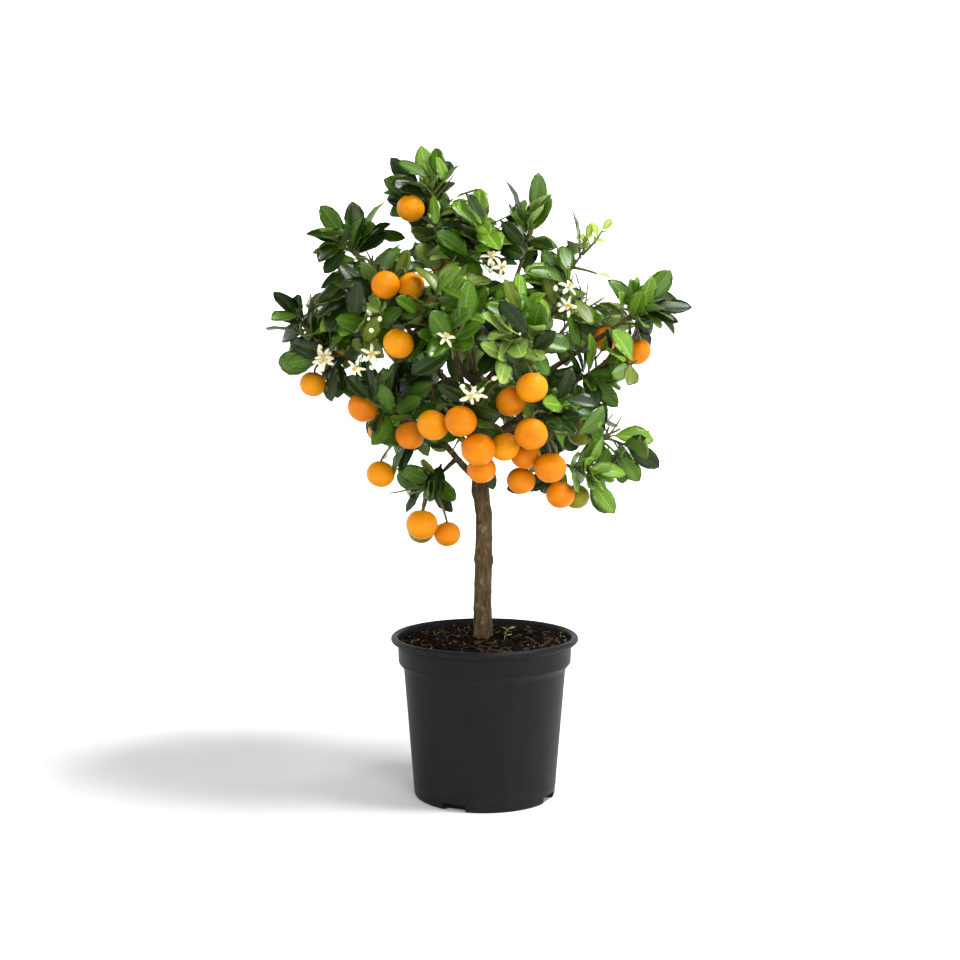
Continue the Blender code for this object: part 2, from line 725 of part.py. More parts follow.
def tube(points, radii, sides, first=None, last=None):
    """A closed tube with flat ends. The directions first and last, if given, square off its ends."""
    bm = bmesh.new()
    side = None
    rings = []
    for i, (point, radius) in enumerate(zip(points, radii)):
        before, after = points[max(i - 1, 0)], points[min(i + 1, len(points) - 1)]
        along = ((point - before).normalized() + (after - point).normalized()).normalized()
        if i == 0 and first:
            along = first
        if i == len(points) - 1 and last:
            along = last
        side = frame_across(along)[0] if side is None else (side - along * side.dot(along)).normalized()
        other = along.cross(side)
        ring = []
        for k in range(sides):
            angle = 2 * math.pi * k / sides
            ring.append(bm.verts.new(point + (side * math.cos(angle) + other * math.sin(angle)) * radius))
        rings.append(ring)
    for low, high in zip(rings, rings[1:]):
        for k in range(sides):
            bm.faces.new((low[k], low[(k + 1) % sides], high[(k + 1) % sides], high[k]))
    bm.faces.new(rings[0][::-1])
    bm.faces.new(rings[-1])
    return bm


def revolved(profile, segments):
    """A solid of revolution. Its profile runs from the axis at the bottom to the axis at the top."""
    bm = bmesh.new()
    rings = []
    for radius, height in profile:
        if radius < 1e-9:
            rings.append([bm.verts.new((0, 0, height))])
            continue
        ring = []
        for k in range(segments):
            angle = 2 * math.pi * k / segments
            ring.append(bm.verts.new((radius * math.sin(angle), -radius * math.cos(angle), height)))
        rings.append(ring)
    for low, high in zip(rings, rings[1:]):
        for k in range(segments):
            m = (k + 1) % segments
            if len(low) == 1:
                bm.faces.new((low[0], high[m], high[k]))
            elif len(high) == 1:
                bm.faces.new((low[k], low[m], high[0]))
            else:
                bm.faces.new((low[k], low[m], high[m], high[k]))
    return bm


def ball_mesh(centre, radius):
    """A slightly flattened sphere of few faces, for a fruit."""
    steps = [math.pi * i / FRUIT_RINGS for i in range(FRUIT_RINGS + 1)]
    profile = [(radius * math.sin(a), -radius * FRUIT_FLATNESS * math.cos(a)) for a in steps]
    profile[0], profile[-1] = (0.0, profile[0][1]), (0.0, profile[-1][1])
    bm = revolved(profile, FRUIT_SIDES)
    bmesh.ops.translate(bm, verts=bm.verts, vec=centre)
    return bm


def leaf_mesh(corners):
    """A closed leaf of six triangles over its five corners."""
    bm = bmesh.new()
    verts = [bm.verts.new(corner) for corner in corners]
    for face in LEAF_FACES:
        bm.faces.new([verts[i] for i in face])
    return bm


def box_mesh(low, high, turn):
    """A box between two corners, turned about the pot's axis. Its first side faces the front."""
    bm = bmesh.new()
    bmesh.ops.create_cube(bm, size=1.0)
    size = [h - a for a, h in zip(low, high)]
    centre = [(a + h) / 2 for a, h in zip(low, high)]
    for vert in bm.verts:
        vert.co = Vector([c * s + m for c, s, m in zip(vert.co, size, centre)])
    x, y = math.cos(turn), math.sin(turn)
    for vert in bm.verts:
        vert.co = Vector((vert.co.x * x - vert.co.y * y, vert.co.x * y + vert.co.y * x, vert.co.z))
    return bm


def as_object(name, bm):
    """The mesh as an object of that name."""
    mesh = bpy.data.meshes.new(name)
    bm.to_mesh(mesh)
    bm.free()
    obj = bpy.data.objects.new(name, mesh)
    bpy.context.scene.collection.objects.link(obj)
    return obj


def boolean(obj, operation, others):
    """Joins the others to the object, or cuts them from it, at once, and removes them."""
    group = bpy.data.collections.new("operands")
    for other in others:
        group.objects.link(other)
    modifier = obj.modifiers.new("join", "BOOLEAN")
    modifier.operation = operation
    modifier.operand_type = "COLLECTION"
    modifier.collection = group
    modifier.solver = "EXACT"
    bpy.context.view_layer.objects.active = obj
    bpy.ops.object.modifier_apply(modifier=modifier.name)
    for other in others:
        mesh = other.data
        bpy.data.objects.remove(other)
        bpy.data.meshes.remove(mesh)
    bpy.data.collections.remove(group)


def shell_volume(faces):
    """The volume inside a closed shell, negative if it faces inwards."""
    total = 0.0
    for face in faces:
        corners = [vert.co for vert in face.verts]
        for b, c in zip(corners[1:], corners[2:]):
            total += corners[0].dot(b.cross(c))
    return total / 6


def keep_largest(obj):
    """Drops loose scraps, and the walls of hollows that the joining has sealed."""
    bm = bmesh.new()
    bm.from_mesh(obj.data)
    left, shells = set(bm.faces), []
    while left:
        shell, edge = set(), [left.pop()]
        while edge:
            face = edge.pop()
            shell.add(face)
            near = {other for e in face.edges if e.is_manifold for other in e.link_faces} & left
            left -= near
            edge += near
        shells.append(shell)
    largest = max(shells, key=shell_volume)
    bmesh.ops.delete(bm, geom=[f for s in shells if s is not largest for f in s], context="FACES")
    bmesh.ops.delete(bm, geom=[v for v in bm.verts if not v.link_faces], context="VERTS")
    bm.to_mesh(obj.data)
    bm.free()


def dressed(obj, kind):
    """Gives the object a material of its own in its kind's colour, and shades it smooth."""
    red, green, blue, roughness = COLOURS[kind]
    material = bpy.data.materials.new(obj.name)
    material.use_nodes = True
    shader = material.node_tree.nodes["Principled BSDF"]
    shader.inputs["Base Color"].default_value = (red, green, blue, 1)
    shader.inputs["Roughness"].default_value = roughness
    shader.inputs["Metallic"].default_value = 0.0
    obj.data.materials.append(material)
    obj.data.shade_smooth()
    obj.data.set_sharp_from_angle(angle=SHARP_ANGLE)


def bead_arc(start_deg, end_deg, count):
    """Points round the rolled rim, by the angle from straight outwards."""
    radius, height = POT_BEAD_CENTRE
    points = []
    for i in range(count):
        angle = math.radians(start_deg + (end_deg - start_deg) * i / (count - 1))
        across = POT_BEAD_RADIUS * math.cos(angle)
        points.append((radius + across, height + POT_BEAD_RADIUS * math.sin(angle)))
    return points


def inner_wall():
    """The inside of the pot's wall, from the floor up to the band."""
    return [
        (POT_BASE_RADIUS - POT_WALL, POT_FLOOR),
        (POT_NECK_RADIUS - POT_WALL, POT_NECK_HEIGHT),
        (POT_BAND_RADIUS - POT_WALL, POT_BAND_HEIGHT),
    ]


def recess_box(number, grow):
    """One drainage recess, made larger all round by grow."""
    turn = math.radians(RECESS_FIRST_DEG + number * 360 / RECESS_COUNT)
    deep = POT_BASE_RADIUS - RECESS_DEPTH
    half = RECESS_WIDTH / 2 + grow
    bottom = POT_FLOOR / 2
    outer = POT_BASE_RADIUS - POT_WALL / 2
    if grow == 0:
        bottom = -RECESS_BELOW
        outer = POT_BASE_RADIUS + RECESS_BEYOND
    return box_mesh((-half, -outer, bottom), (half, -deep + grow, RECESS_HEIGHT + grow), turn)


def drain_box(number):
    """The drain hole through the inner face of one recess."""
    turn = math.radians(RECESS_FIRST_DEG + number * 360 / RECESS_COUNT)
    deep = POT_BASE_RADIUS - RECESS_DEPTH
    top = RECESS_HEIGHT - DRAIN_BELOW_TOP
    low = (-DRAIN_WIDTH / 2, -deep - DRAIN_OVERRUN, top - DRAIN_HEIGHT)
    high = (DRAIN_WIDTH / 2, -deep + POT_WALL + DRAIN_OVERRUN, top)
    return box_mesh(low, high, turn)


def pot_profile():
    """Half the pot's section: base, fillet, wall, step, band and rolled rim, then down the inside."""
    fillet = []
    for i in range(POT_FILLET_STEPS):
        angle = math.pi / 2 * i / (POT_FILLET_STEPS - 1)
        radius = POT_BASE_RADIUS - POT_BASE_FILLET * (1 - math.sin(angle))
        fillet.append((radius, POT_BASE_FILLET * (1 - math.cos(angle))))
    neck = (POT_NECK_RADIUS, POT_NECK_HEIGHT)
    band = (POT_BAND_RADIUS, POT_BAND_HEIGHT)
    bead = bead_arc(*POT_BEAD_ARC_DEG, POT_BEAD_STEPS)
    return [(0.0, 0.0), *fillet, neck, band, *bead, *inner_wall()[::-1], (0.0, POT_FLOOR)]


def build_pot():
    """The pot's shell, with the drainage recesses and their holes cut from its foot."""
    pot = as_object("pot", revolved(pot_profile(), POT_SEGMENTS))
    numbers = range(RECESS_COUNT)
    boolean(pot, "UNION", [as_object(f"recess_wall_{i}", recess_box(i, POT_WALL)) for i in numbers])
    boolean(pot, "DIFFERENCE", [as_object(f"recess_{i}", recess_box(i, 0.0)) for i in numbers])
    boolean(pot, "DIFFERENCE", [as_object(f"drain_{i}", drain_box(i)) for i in numbers])
    dressed(pot, "pot")


def build_soil():
    """The soil that fills the pot, with a low mound round the trunk."""
    inside = [(radius - GAP, height) for radius, height in inner_wall()]
    foot = (inside[0][0], POT_FLOOR + GAP)
    band = (inside[2][0], POT_BAND_HEIGHT + GAP)
    edge_radius = band[0] + (SOIL_EDGE_HEIGHT - POT_BAND_HEIGHT) * SOIL_EDGE_SLOPE
    mound = []
    for i in range(SOIL_MOUND_RINGS + 1):
        share = i / SOIL_MOUND_RINGS
        rise = math.sin(math.pi / 2 * share)
        radius = edge_radius + (SOIL_FLAT_RADIUS - edge_radius) * share
        mound.append((radius, SOIL_EDGE_HEIGHT + (SOIL_TOP_HEIGHT - SOIL_EDGE_HEIGHT) * rise))
    neck = (inside[1][0], inside[1][1] + GAP)
    profile = [(0.0, foot[1]), foot, neck, band, *mound, (0.0, SOIL_TOP_HEIGHT)]
    soil = as_object("soil", revolved(profile, POT_SEGMENTS))
    numbers = range(RECESS_COUNT)
    cuts = [as_object(f"soil_cut_{i}", recess_box(i, POT_WALL + GAP)) for i in numbers]
    boolean(soil, "DIFFERENCE", cuts)
    dressed(soil, "soil")


def build_limbs(limbs):
    """The trunk, and each bough with its foot cut to fit what it grows from."""
    trunk = limbs["trunk"]
    dressed(as_object("trunk", tube(trunk.points, trunk.radii, TRUNK_SIDES, UP)), "bark")
    for mass, (parent, _, _) in BOUGHS.items():
        limb = limbs[mass]
        _, direction = entry_of(mass, limb.points[0])
        bough = as_object(limb.name, tube(limb.points, limb.radii, BOUGH_SIDES, None, direction))
        carrier = limbs[parent]
        sides = TRUNK_SIDES if parent == "trunk" else BOUGH_SIDES
        wider = [radius + BOUGH_CUT_GAP for radius in carrier.radii]
        boolean(bough, "DIFFERENCE", [as_object("cutter", tube(carrier.points, wider, sides))])
        keep_largest(bough)
        dressed(bough, "bark")


def build_mass(mass):
    """One mass of foliage as one solid: stem, twigs, fruits and leaves in one union."""
    stem = tube(mass.stem.points, mass.stem.radii, STEM_SIDES, mass.stem_direction)
    whole = as_object("foliage_" + mass.name, stem)
    twigs = mass.leaders + mass.stalks + mass.fillers
    parts = [tube(twig.points, twig.radii, TWIG_SIDES) for twig in twigs]
    parts += [ball_mesh(Vector(ball[:3]), ball[3]) for ball in mass.fruits]
    parts += [leaf_mesh(corners) for corners in mass.leaves]
    boolean(whole, "UNION", [as_object(f"operand_{i}", bm) for i, bm in enumerate(parts)])
    keep_largest(whole)
    dressed(whole, "foliage")


def main():
    for obj in list(bpy.data.objects):
        bpy.data.objects.remove(obj)
    build_pot()
    build_soil()
    limbs = make_limbs()
    build_limbs(limbs)
    for mass in grow_crown(limbs):
        build_mass(mass)


main()
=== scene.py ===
import json
import math
import random

import bpy
import numpy as np
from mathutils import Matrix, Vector
from mathutils.bvhtree import BVHTree

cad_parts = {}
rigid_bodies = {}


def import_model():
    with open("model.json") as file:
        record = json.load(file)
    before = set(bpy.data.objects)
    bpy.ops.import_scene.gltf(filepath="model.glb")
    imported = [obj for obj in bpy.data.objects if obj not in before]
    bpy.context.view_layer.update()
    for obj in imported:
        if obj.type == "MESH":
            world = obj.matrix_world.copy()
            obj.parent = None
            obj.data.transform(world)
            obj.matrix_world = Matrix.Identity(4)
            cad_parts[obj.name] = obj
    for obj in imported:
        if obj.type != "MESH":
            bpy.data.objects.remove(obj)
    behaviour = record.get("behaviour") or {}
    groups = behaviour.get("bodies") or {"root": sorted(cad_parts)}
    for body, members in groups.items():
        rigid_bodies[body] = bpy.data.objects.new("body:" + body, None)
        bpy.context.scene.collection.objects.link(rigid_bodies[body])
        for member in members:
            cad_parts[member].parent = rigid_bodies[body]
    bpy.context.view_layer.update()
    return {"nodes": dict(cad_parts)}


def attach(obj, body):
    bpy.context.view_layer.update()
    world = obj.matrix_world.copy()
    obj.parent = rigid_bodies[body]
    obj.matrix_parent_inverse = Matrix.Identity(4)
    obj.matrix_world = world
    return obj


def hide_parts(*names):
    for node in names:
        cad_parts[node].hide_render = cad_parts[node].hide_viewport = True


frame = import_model()
up = np.array((0.0, 0.0, 1.0))
golden = math.radians(137.508)  # the angle from one leaf to the next round a twig
slant = (0.31, 0.17, 0.93)      # a direction that no limb follows, to take cross directions from
print("frame loaded:", len(frame["nodes"]), "nodes")

# Camera, and where the photograph was taken from: metres, degrees, and millimetres for the lens
view = {"distance": 1.55, "height": 0.465, "down": 5.3, "left": 0.174, "lens": 58.1}

# The pot: radii and heights of its outside, in metres
pot = {
    "wall": 0.0018, "floor": 0.0030, "baseRadius": 0.0715, "baseFillet": 0.0025,
    "neckRadius": 0.0820, "neckHeight": 0.1305, "bandRadius": 0.0872, "bandHeight": 0.1370,
    "beadRadius": 0.0034, "beadCentre": (0.0915, 0.1606),
    "recessCount": 4, "recessFirst": -25.0, "recessWidth": 0.0240, "recessHeight": 0.0070,
    "recessDepth": 0.0095, "drainWidth": 0.0150, "drainLow": 0.0034, "drainHigh": 0.0062, "drainDeep": 0.0060,
    "footLine": 0.0125, "lipLine": 0.1548,
    "turnStep": 2.0, "sideTurn": 0.12, "sharpFrom": 40.0, "hair": 0.00005,  # degrees, and less than a row's rise
}

# The soil: a low mound, and what lies loose on it
soil = {
    "edgeHeight": 0.1572, "topHeight": 0.1612, "edgeRadius": 0.0862, "flatRadius": 0.0130, "relief": 0.0011,
    "crumbs": 1900, "chips": 150, "fibres": 26, "specks": 90, "seed": 41, "rings": 70, "sides": 180,
    "gap": 0.0003, "fibreRadius": 0.00028, "fibreLift": 0.0011, "fibreArch": 0.0022, "fibreBow": 0.5,
}

# The trunk: height and sideways place of its axis, radii, and the knots where side shoots were cut off
trunk = {
    "axis": (
        (0.1603, -0.0015, 0.0000), (0.1970, -0.0021, 0.0005), (0.2320, -0.0013, 0.0000),
        (0.2670, -0.0008, -0.0008), (0.2850, -0.0006, -0.0006), (0.3000, -0.0028, 0.0000),
        (0.3180, -0.0048, 0.0012), (0.3600, -0.0056, 0.0040), (0.4000, -0.0074, 0.0090),
        (0.4300, -0.0100, 0.0140),
    ),
    "footRadius": 0.0092, "tipRadius": 0.0052, "flare": 0.0012, "flareHeight": 0.0110,
    "stemHeight": 0.3200, "stemRadius": 0.0079, "rings": 17,
    "swellings": ((0.2420, 0.0007), (0.3120, 0.0006), (0.1800, 0.0003)), "swellSpread": 0.0060,
    "knots": (
        (0.2400, 250.0, 0.0016), (0.3080, 100.0, 0.0013), (0.1900, 60.0, 0.0012), (0.2760, 160.0, 0.0009),
    ),
    "knotRound": 0.0080, "knotFlat": 0.8, "knotReach": 0.0034, "knotPit": 0.0012,
    "ridge": 0.00042, "grainRadius": 0.0090, "sides": 72, "drawnRings": 200, "sinks": 0.0050,
}

# Each mass of foliage: centre, radius, seeded fill twigs, and fruits that its rule adds
masses = {
    "top": ((-0.052, -0.008, 0.592), 0.050, 2, 0),
    "upper_left": ((-0.128, -0.004, 0.545), 0.054, 1, 0),
    "upper_mid": ((-0.004, -0.036, 0.556), 0.050, 3, 0),
    "upper_right": ((0.044, 0.006, 0.560), 0.048, 2, 0),
    "right_high": ((0.094, 0.002, 0.540), 0.042, 1, 0),
    "right_far": ((0.150, 0.000, 0.487), 0.046, 1, 0),
    "right_mid": ((0.118, -0.020, 0.436), 0.050, 3, 0),
    "right_inner": ((0.076, -0.045, 0.498), 0.052, 5, 0),
    "left_outer": ((-0.166, -0.010, 0.458), 0.052, 2, 0),
    "left_inner": ((-0.102, -0.062, 0.492), 0.054, 4, 0),
    "front_centre": ((-0.038, -0.092, 0.474), 0.056, 5, 0),
    "front_right": ((0.026, -0.092, 0.462), 0.054, 5, 0),
    "low_centre": ((-0.008, -0.078, 0.388), 0.050, 3, 0),
    "low_right": ((0.060, -0.066, 0.388), 0.048, 3, 0),
    "right_low": ((0.120, 0.004, 0.362), 0.046, 2, 0),
    "low_right_tip": ((0.096, -0.040, 0.334), 0.038, 1, 0),
    "low_left": ((-0.090, -0.034, 0.392), 0.056, 3, 0),
    "hanging": ((-0.056, -0.018, 0.314), 0.034, 1, 0),
    "back_top": ((-0.030, 0.064, 0.560), 0.056, 4, 1),
    "back_left": ((-0.130, 0.078, 0.478), 0.060, 4, 2),
    "back_right": ((0.094, 0.080, 0.484), 0.060, 4, 2),
    "back_centre": ((-0.020, 0.120, 0.474), 0.060, 5, 1),
    "back_low_left": ((-0.074, 0.074, 0.388), 0.056, 4, 2),
    "back_low_right": ((0.050, 0.078, 0.386), 0.056, 4, 1),
    "heart": ((-0.014, 0.020, 0.488), 0.056, 4, 0),
}

# Each bough: what it grows from, the height or share there, and its foot radius
boughs = {
    "low_left": ("trunk", 0.322, 0.0040),
    "back_low_right": ("trunk", 0.330, 0.0038),
    "low_right": ("trunk", 0.338, 0.0040),
    "back_low_left": ("trunk", 0.346, 0.0038),
    "low_centre": ("trunk", 0.352, 0.0034),
    "right_mid": ("trunk", 0.358, 0.0038),
    "left_outer": ("trunk", 0.363, 0.0040),
    "back_right": ("trunk", 0.369, 0.0036),
    "front_centre": ("trunk", 0.372, 0.0034),
    "back_left": ("trunk", 0.378, 0.0036),
    "front_right": ("trunk", 0.383, 0.0034),
    "right_far": ("trunk", 0.388, 0.0036),
    "back_centre": ("trunk", 0.392, 0.0034),
    "upper_left": ("trunk", 0.397, 0.0034),
    "right_inner": ("trunk", 0.403, 0.0030),
    "upper_right": ("trunk", 0.413, 0.0034),
    "top": ("trunk", 0.420, 0.0034),
    "hanging": ("low_left", 0.42, 0.0028),
    "low_right_tip": ("low_right", 0.45, 0.0028),
    "right_low": ("right_mid", 0.38, 0.0028),
    "left_inner": ("left_outer", 0.36, 0.0028),
    "right_high": ("upper_right", 0.52, 0.0025),
    "upper_mid": ("top", 0.42, 0.0024),
    "back_top": ("top", 0.26, 0.0026),
}

# How a bough leaves its parent and enters its mass, by the source's rule, and its bark
bough = {
    "towards": 1.3, "upwards": 0.2, "outwards": 0.5, "deepest": 0.70, "step": 0.001, "margin": 0.003,
    "rise": 0.55, "sink": -0.10, "leaving": 0.36, "entering": 0.34, "taper": 0.62, "points": 5,
    "collar": 0.35, "collarReach": 0.10, "ridge": 0.00022, "grainRadius": 0.0040, "grainLength": 0.1,
    "grainApart": 0.7, "rings": 30, "sides": 16,
}

# Leading shoots, by the place of the last leaf's tip
leaders = {
    "top": ((-0.062, -0.010, 0.651), (-0.093, -0.014, 0.638), (-0.027, -0.016, 0.633)),
    "upper_left": (
        (-0.163, 0.002, 0.594), (-0.174, -0.012, 0.572), (-0.129, 0.000, 0.598), (-0.103, 0.004, 0.602),
    ),
    "upper_mid": ((-0.007, -0.036, 0.608), (0.016, -0.050, 0.590)),
    "upper_right": ((0.022, 0.000, 0.622), (0.054, 0.002, 0.626), (0.064, 0.012, 0.604)),
    "right_high": ((0.082, 0.002, 0.594), (0.111, 0.000, 0.590), (0.127, -0.008, 0.578)),
    "right_far": (
        (0.124, -0.004, 0.522), (0.150, 0.008, 0.524), (0.185, 0.000, 0.530), (0.206, -0.002, 0.496),
    ),
    "right_mid": ((0.132, -0.022, 0.396), (0.160, -0.020, 0.440)),
    "left_outer": (
        (-0.208, 0.000, 0.512), (-0.212, -0.006, 0.476), (-0.196, 0.000, 0.430), (-0.160, -0.030, 0.404),
    ),
    "right_low": ((0.170, 0.002, 0.364), (0.177, 0.006, 0.334)),
    "low_right_tip": ((0.131, -0.044, 0.331), (0.128, -0.046, 0.293)),
    "hanging": ((-0.086, -0.024, 0.288), (-0.025, -0.020, 0.298)),
    "low_left": ((-0.145, -0.030, 0.406), (-0.090, -0.046, 0.330)),
}

# Shoots that the photograph shows and only this script has: last leaf's tip, tone, leaf length, leaves
shoots = (
    ((-0.100, -0.010, 0.570), "deep", 0.038, 5),
    ((-0.095, -0.020, 0.577), "deep", 0.040, 5),
    ((-0.085, -0.040, 0.554), "mid", 0.040, 5),
    ((-0.159, -0.010, 0.540), "bright", 0.034, 5),
    ((0.015, -0.050, 0.536), "mid", 0.040, 5),
    ((0.032, -0.030, 0.541), "deep", 0.040, 5),
    ((0.047, -0.030, 0.531), "mid", 0.038, 5),
    ((0.022, -0.070, 0.514), "bright", 0.040, 5),
    ((0.062, 0.000, 0.607), "mid", 0.034, 4),
    ((-0.004, -0.020, 0.609), "bright", 0.030, 5),
    ((0.003, -0.030, 0.592), "mid", 0.038, 5),
    ((0.106, 0.000, 0.577), "young", 0.016, 7),
    ((0.126, 0.000, 0.581), "young", 0.015, 6),
    ((0.080, -0.050, 0.408), "deep", 0.042, 5),
    ((0.102, -0.050, 0.418), "mid", 0.038, 5),
    ((0.113, -0.030, 0.398), "deep", 0.038, 5),
    ((0.134, -0.010, 0.447), "mid", 0.044, 4),
    ((0.112, -0.030, 0.466), "mid", 0.040, 4),
    ((0.126, 0.000, 0.523), "young", 0.015, 4),
    ((0.151, 0.000, 0.524), "young", 0.015, 4),
    ((-0.083, -0.040, 0.335), "deep", 0.044, 4),
    ((-0.044, -0.040, 0.335), "deep", 0.044, 4),
    ((-0.059, -0.020, 0.303), "deep", 0.040, 4),
    ((-0.032, -0.040, 0.343), "deep", 0.040, 4),
    ((-0.086, -0.024, 0.288), "deep", 0.026, 1),
    ((-0.027, -0.020, 0.298), "deep", 0.026, 1),
    ((0.007, -0.060, 0.317), "deep", 0.036, 3),
    ((0.022, -0.020, 0.312), "deep", 0.036, 3),
    ((-0.066, -0.030, 0.330), "deep", 0.038, 4),
    ((-0.047, -0.026, 0.322), "deep", 0.036, 4),
    ((0.040, -0.040, 0.316), "deep", 0.038, 3),
    ((0.140, -0.040, 0.333), "bright", 0.040, 5),
    ((0.129, -0.045, 0.294), "mid", 0.040, 5),
    ((0.072, -0.070, 0.350), "bright", 0.038, 5),
    ((0.102, -0.075, 0.345), "bright", 0.034, 5),
    ((0.157, 0.000, 0.321), "mid", 0.036, 4),
    ((0.025, -0.150, 0.472), "pale", 0.044, 4),
    ((0.033, -0.150, 0.452), "pale", 0.044, 4),
    ((0.016, -0.150, 0.428), "pale", 0.040, 4),
    ((-0.093, -0.100, 0.494), "pale", 0.026, 5),
    ((-0.052, -0.060, 0.542), "pale", 0.024, 5),
    ((-0.147, -0.012, 0.404), "deep", 0.038, 4),
    ((-0.196, -0.006, 0.440), "mid", 0.036, 4),
)

# Where the photograph shows sky in or beside the crown: across, height and radius, seen at the trunk's depth
skies = (
    (0.070, 0.592, 0.007), (0.097, 0.525, 0.014), (0.112, 0.541, 0.015), (0.138, 0.552, 0.010),
    (0.159, 0.555, 0.018), (0.115, 0.508, 0.013), (0.079, 0.471, 0.006), (0.150, 0.394, 0.022),
    (0.175, 0.407, 0.018), (0.131, 0.361, 0.011), (0.177, 0.456, 0.012), (0.067, 0.438, 0.004),
    (-0.178, 0.556, 0.011), (-0.177, 0.530, 0.014), (-0.133, 0.548, 0.006),
    (-0.104, 0.557, 0.006), (-0.032, 0.603, 0.006), (-0.005, 0.632, 0.020), (0.018, 0.602, 0.008),
    (0.012, 0.585, 0.007), (-0.140, 0.363, 0.024), (-0.135, 0.331, 0.018), (-0.077, 0.340, 0.005),
    (-0.026, 0.329, 0.012), (-0.030, 0.354, 0.007), (-0.100, 0.296, 0.016), (0.104, 0.612, 0.016),
    (0.058, 0.572, 0.008), (0.196, 0.511, 0.007), (0.113, 0.438, 0.006),
    (-0.206, 0.450, 0.007), (-0.206, 0.424, 0.009),
)

# Fruits that show, by the mass that carries them: centre and radius
fruits = {
    "top": ((-0.0715, -0.035, 0.5881, 0.0133),),
    "left_inner": ((-0.0923, -0.100, 0.5125, 0.0132), (-0.0693, -0.082, 0.5120, 0.0129)),
    "front_centre": ((-0.0800, -0.108, 0.4583, 0.0142),),
    "front_right": ((0.0437, -0.116, 0.4178, 0.0145),),
    "left_outer": ((-0.1710, -0.006, 0.4175, 0.0130),),
    "low_left": (
        (-0.1182, -0.050, 0.3961, 0.0145), (-0.1026, -0.030, 0.3299, 0.0137),
        (-0.0720, -0.060, 0.3700, 0.0138),
    ),
    "low_centre": (
        (-0.0485, -0.100, 0.3823, 0.0148), (-0.0221, -0.118, 0.3868, 0.0148),
        (-0.0059, -0.108, 0.3599, 0.0158),
        (-0.0029, -0.078, 0.3385, 0.0136), (0.0190, -0.090, 0.3610, 0.0138), (0.0250, -0.090, 0.4041, 0.0146),
    ),
    "low_right": (
        (0.0432, -0.113, 0.3746, 0.0153), (0.0390, -0.072, 0.3520, 0.0142),
        (0.0353, -0.056, 0.3260, 0.0136), (0.0622, -0.088, 0.3411, 0.0150),
    ),
    "low_right_tip": ((0.0732, -0.058, 0.3122, 0.0136), (0.0905, -0.030, 0.3077, 0.0126)),
    "hanging": (
        (-0.0621, -0.030, 0.2800, 0.0155), (-0.0372, -0.020, 0.2691, 0.0130),
        (-0.0640, -0.001, 0.2700, 0.0132),
    ),
    "right_mid": ((0.1508, -0.012, 0.4500, 0.0134),),
    "right_low": ((0.0945, -0.020, 0.3692, 0.0124),),
}
# Fruits that are still green, by their centres
greenFruits = ((-0.0640, -0.001, 0.2700), (0.0905, -0.030, 0.3077), (0.0945, -0.020, 0.3692))
fruit = {
    "plump": 1.03, "flatness": 0.93, "crook": 0.0070, "radius": 0.0140, "rings": 16, "sides": 24,
    "dimple": 0.10, "dimpleReach": 0.30, "navel": 0.03, "navelReach": 0.16, "furrow": 0.012,
    "furrowReach": 0.8,
    "stalkLean": 0.7, "stalkEnd": 0.70, "stalkTaper": (1.0, 0.85, 0.7), "sameSpot": 0.004,
    "calyxRadius": 0.0030, "calyxPoint": 0.28, "calyxThick": 0.30, "calyxLift": 0.0003, "seed": 5,
}
# Fruits on the sides that the photograph doesn't show: where in its mass one may hang, and how large it is
hidden = {
    "turn": 1.1, "drop": (0.1, 0.8), "size": (0.92, 1.08), "depth": (0.62, 0.85), "gap": 0.001, "tries": 6,
}

# Twigs: the source's rule first, then the finer side twigs that only this script has. The places where a
# twig may leave its stem are feet: the first share, the step between them and their number.
twig = {
    "stemRadius": 0.0021, "radius": 0.0015, "tipShare": 0.65, "setBack": 0.20, "sourceLeaf": 0.0490,
    "leaderLeaf": 0.86, "fillReach": 0.80, "clearance": 0.0012,
    "stemGap": 0.0003, "stemLean": 0.6, "stemRise": 0.5, "stemReach": 0.42,
    "stemTaper": (1.0, 0.95, 0.85, 0.6), "feet": (0.22, 0.04, 20), "bendOut": 0.6, "bendUp": 0.5,
    "leaderRise": 0.10, "fillRise": 0.18,
    "fillDepth": (0.62, 0.80), "fillLeast": 0.3, "fillStep": 0.002, "fillBehind": -0.75, "fillMargin": 0.003,
    "sideLength": (0.020, 0.034), "sideRadius": 0.0010, "sideShares": (0.36, 0.54, 0.72, 0.90),
    "stemShares": (0.26, 0.38, 0.50, 0.62, 0.74, 0.86, 1.0), "sideTries": 9, "swing": 50.0,
    "massReach": 1.34, "sideMix": (0.6, 0.8, 0.15, 0.15), "sideLift": 0.10, "sideBend": 0.55,
    "sideLeafRoom": 0.022, "sideFree": 0.004, "sideGap": 0.001, "sideTaper": (1.0, 0.85, 0.6),
    "shootFree": 0.006,
}
# The crown's middle, which its masses look away from, and the box that its leaves stay in
crownAxis = np.array((-0.010, 0.010, 0.440))
crownLow, crownHigh = np.array((-0.2190, -0.1700, 0.2480)), np.array((0.2090, 0.1900, 0.6530))

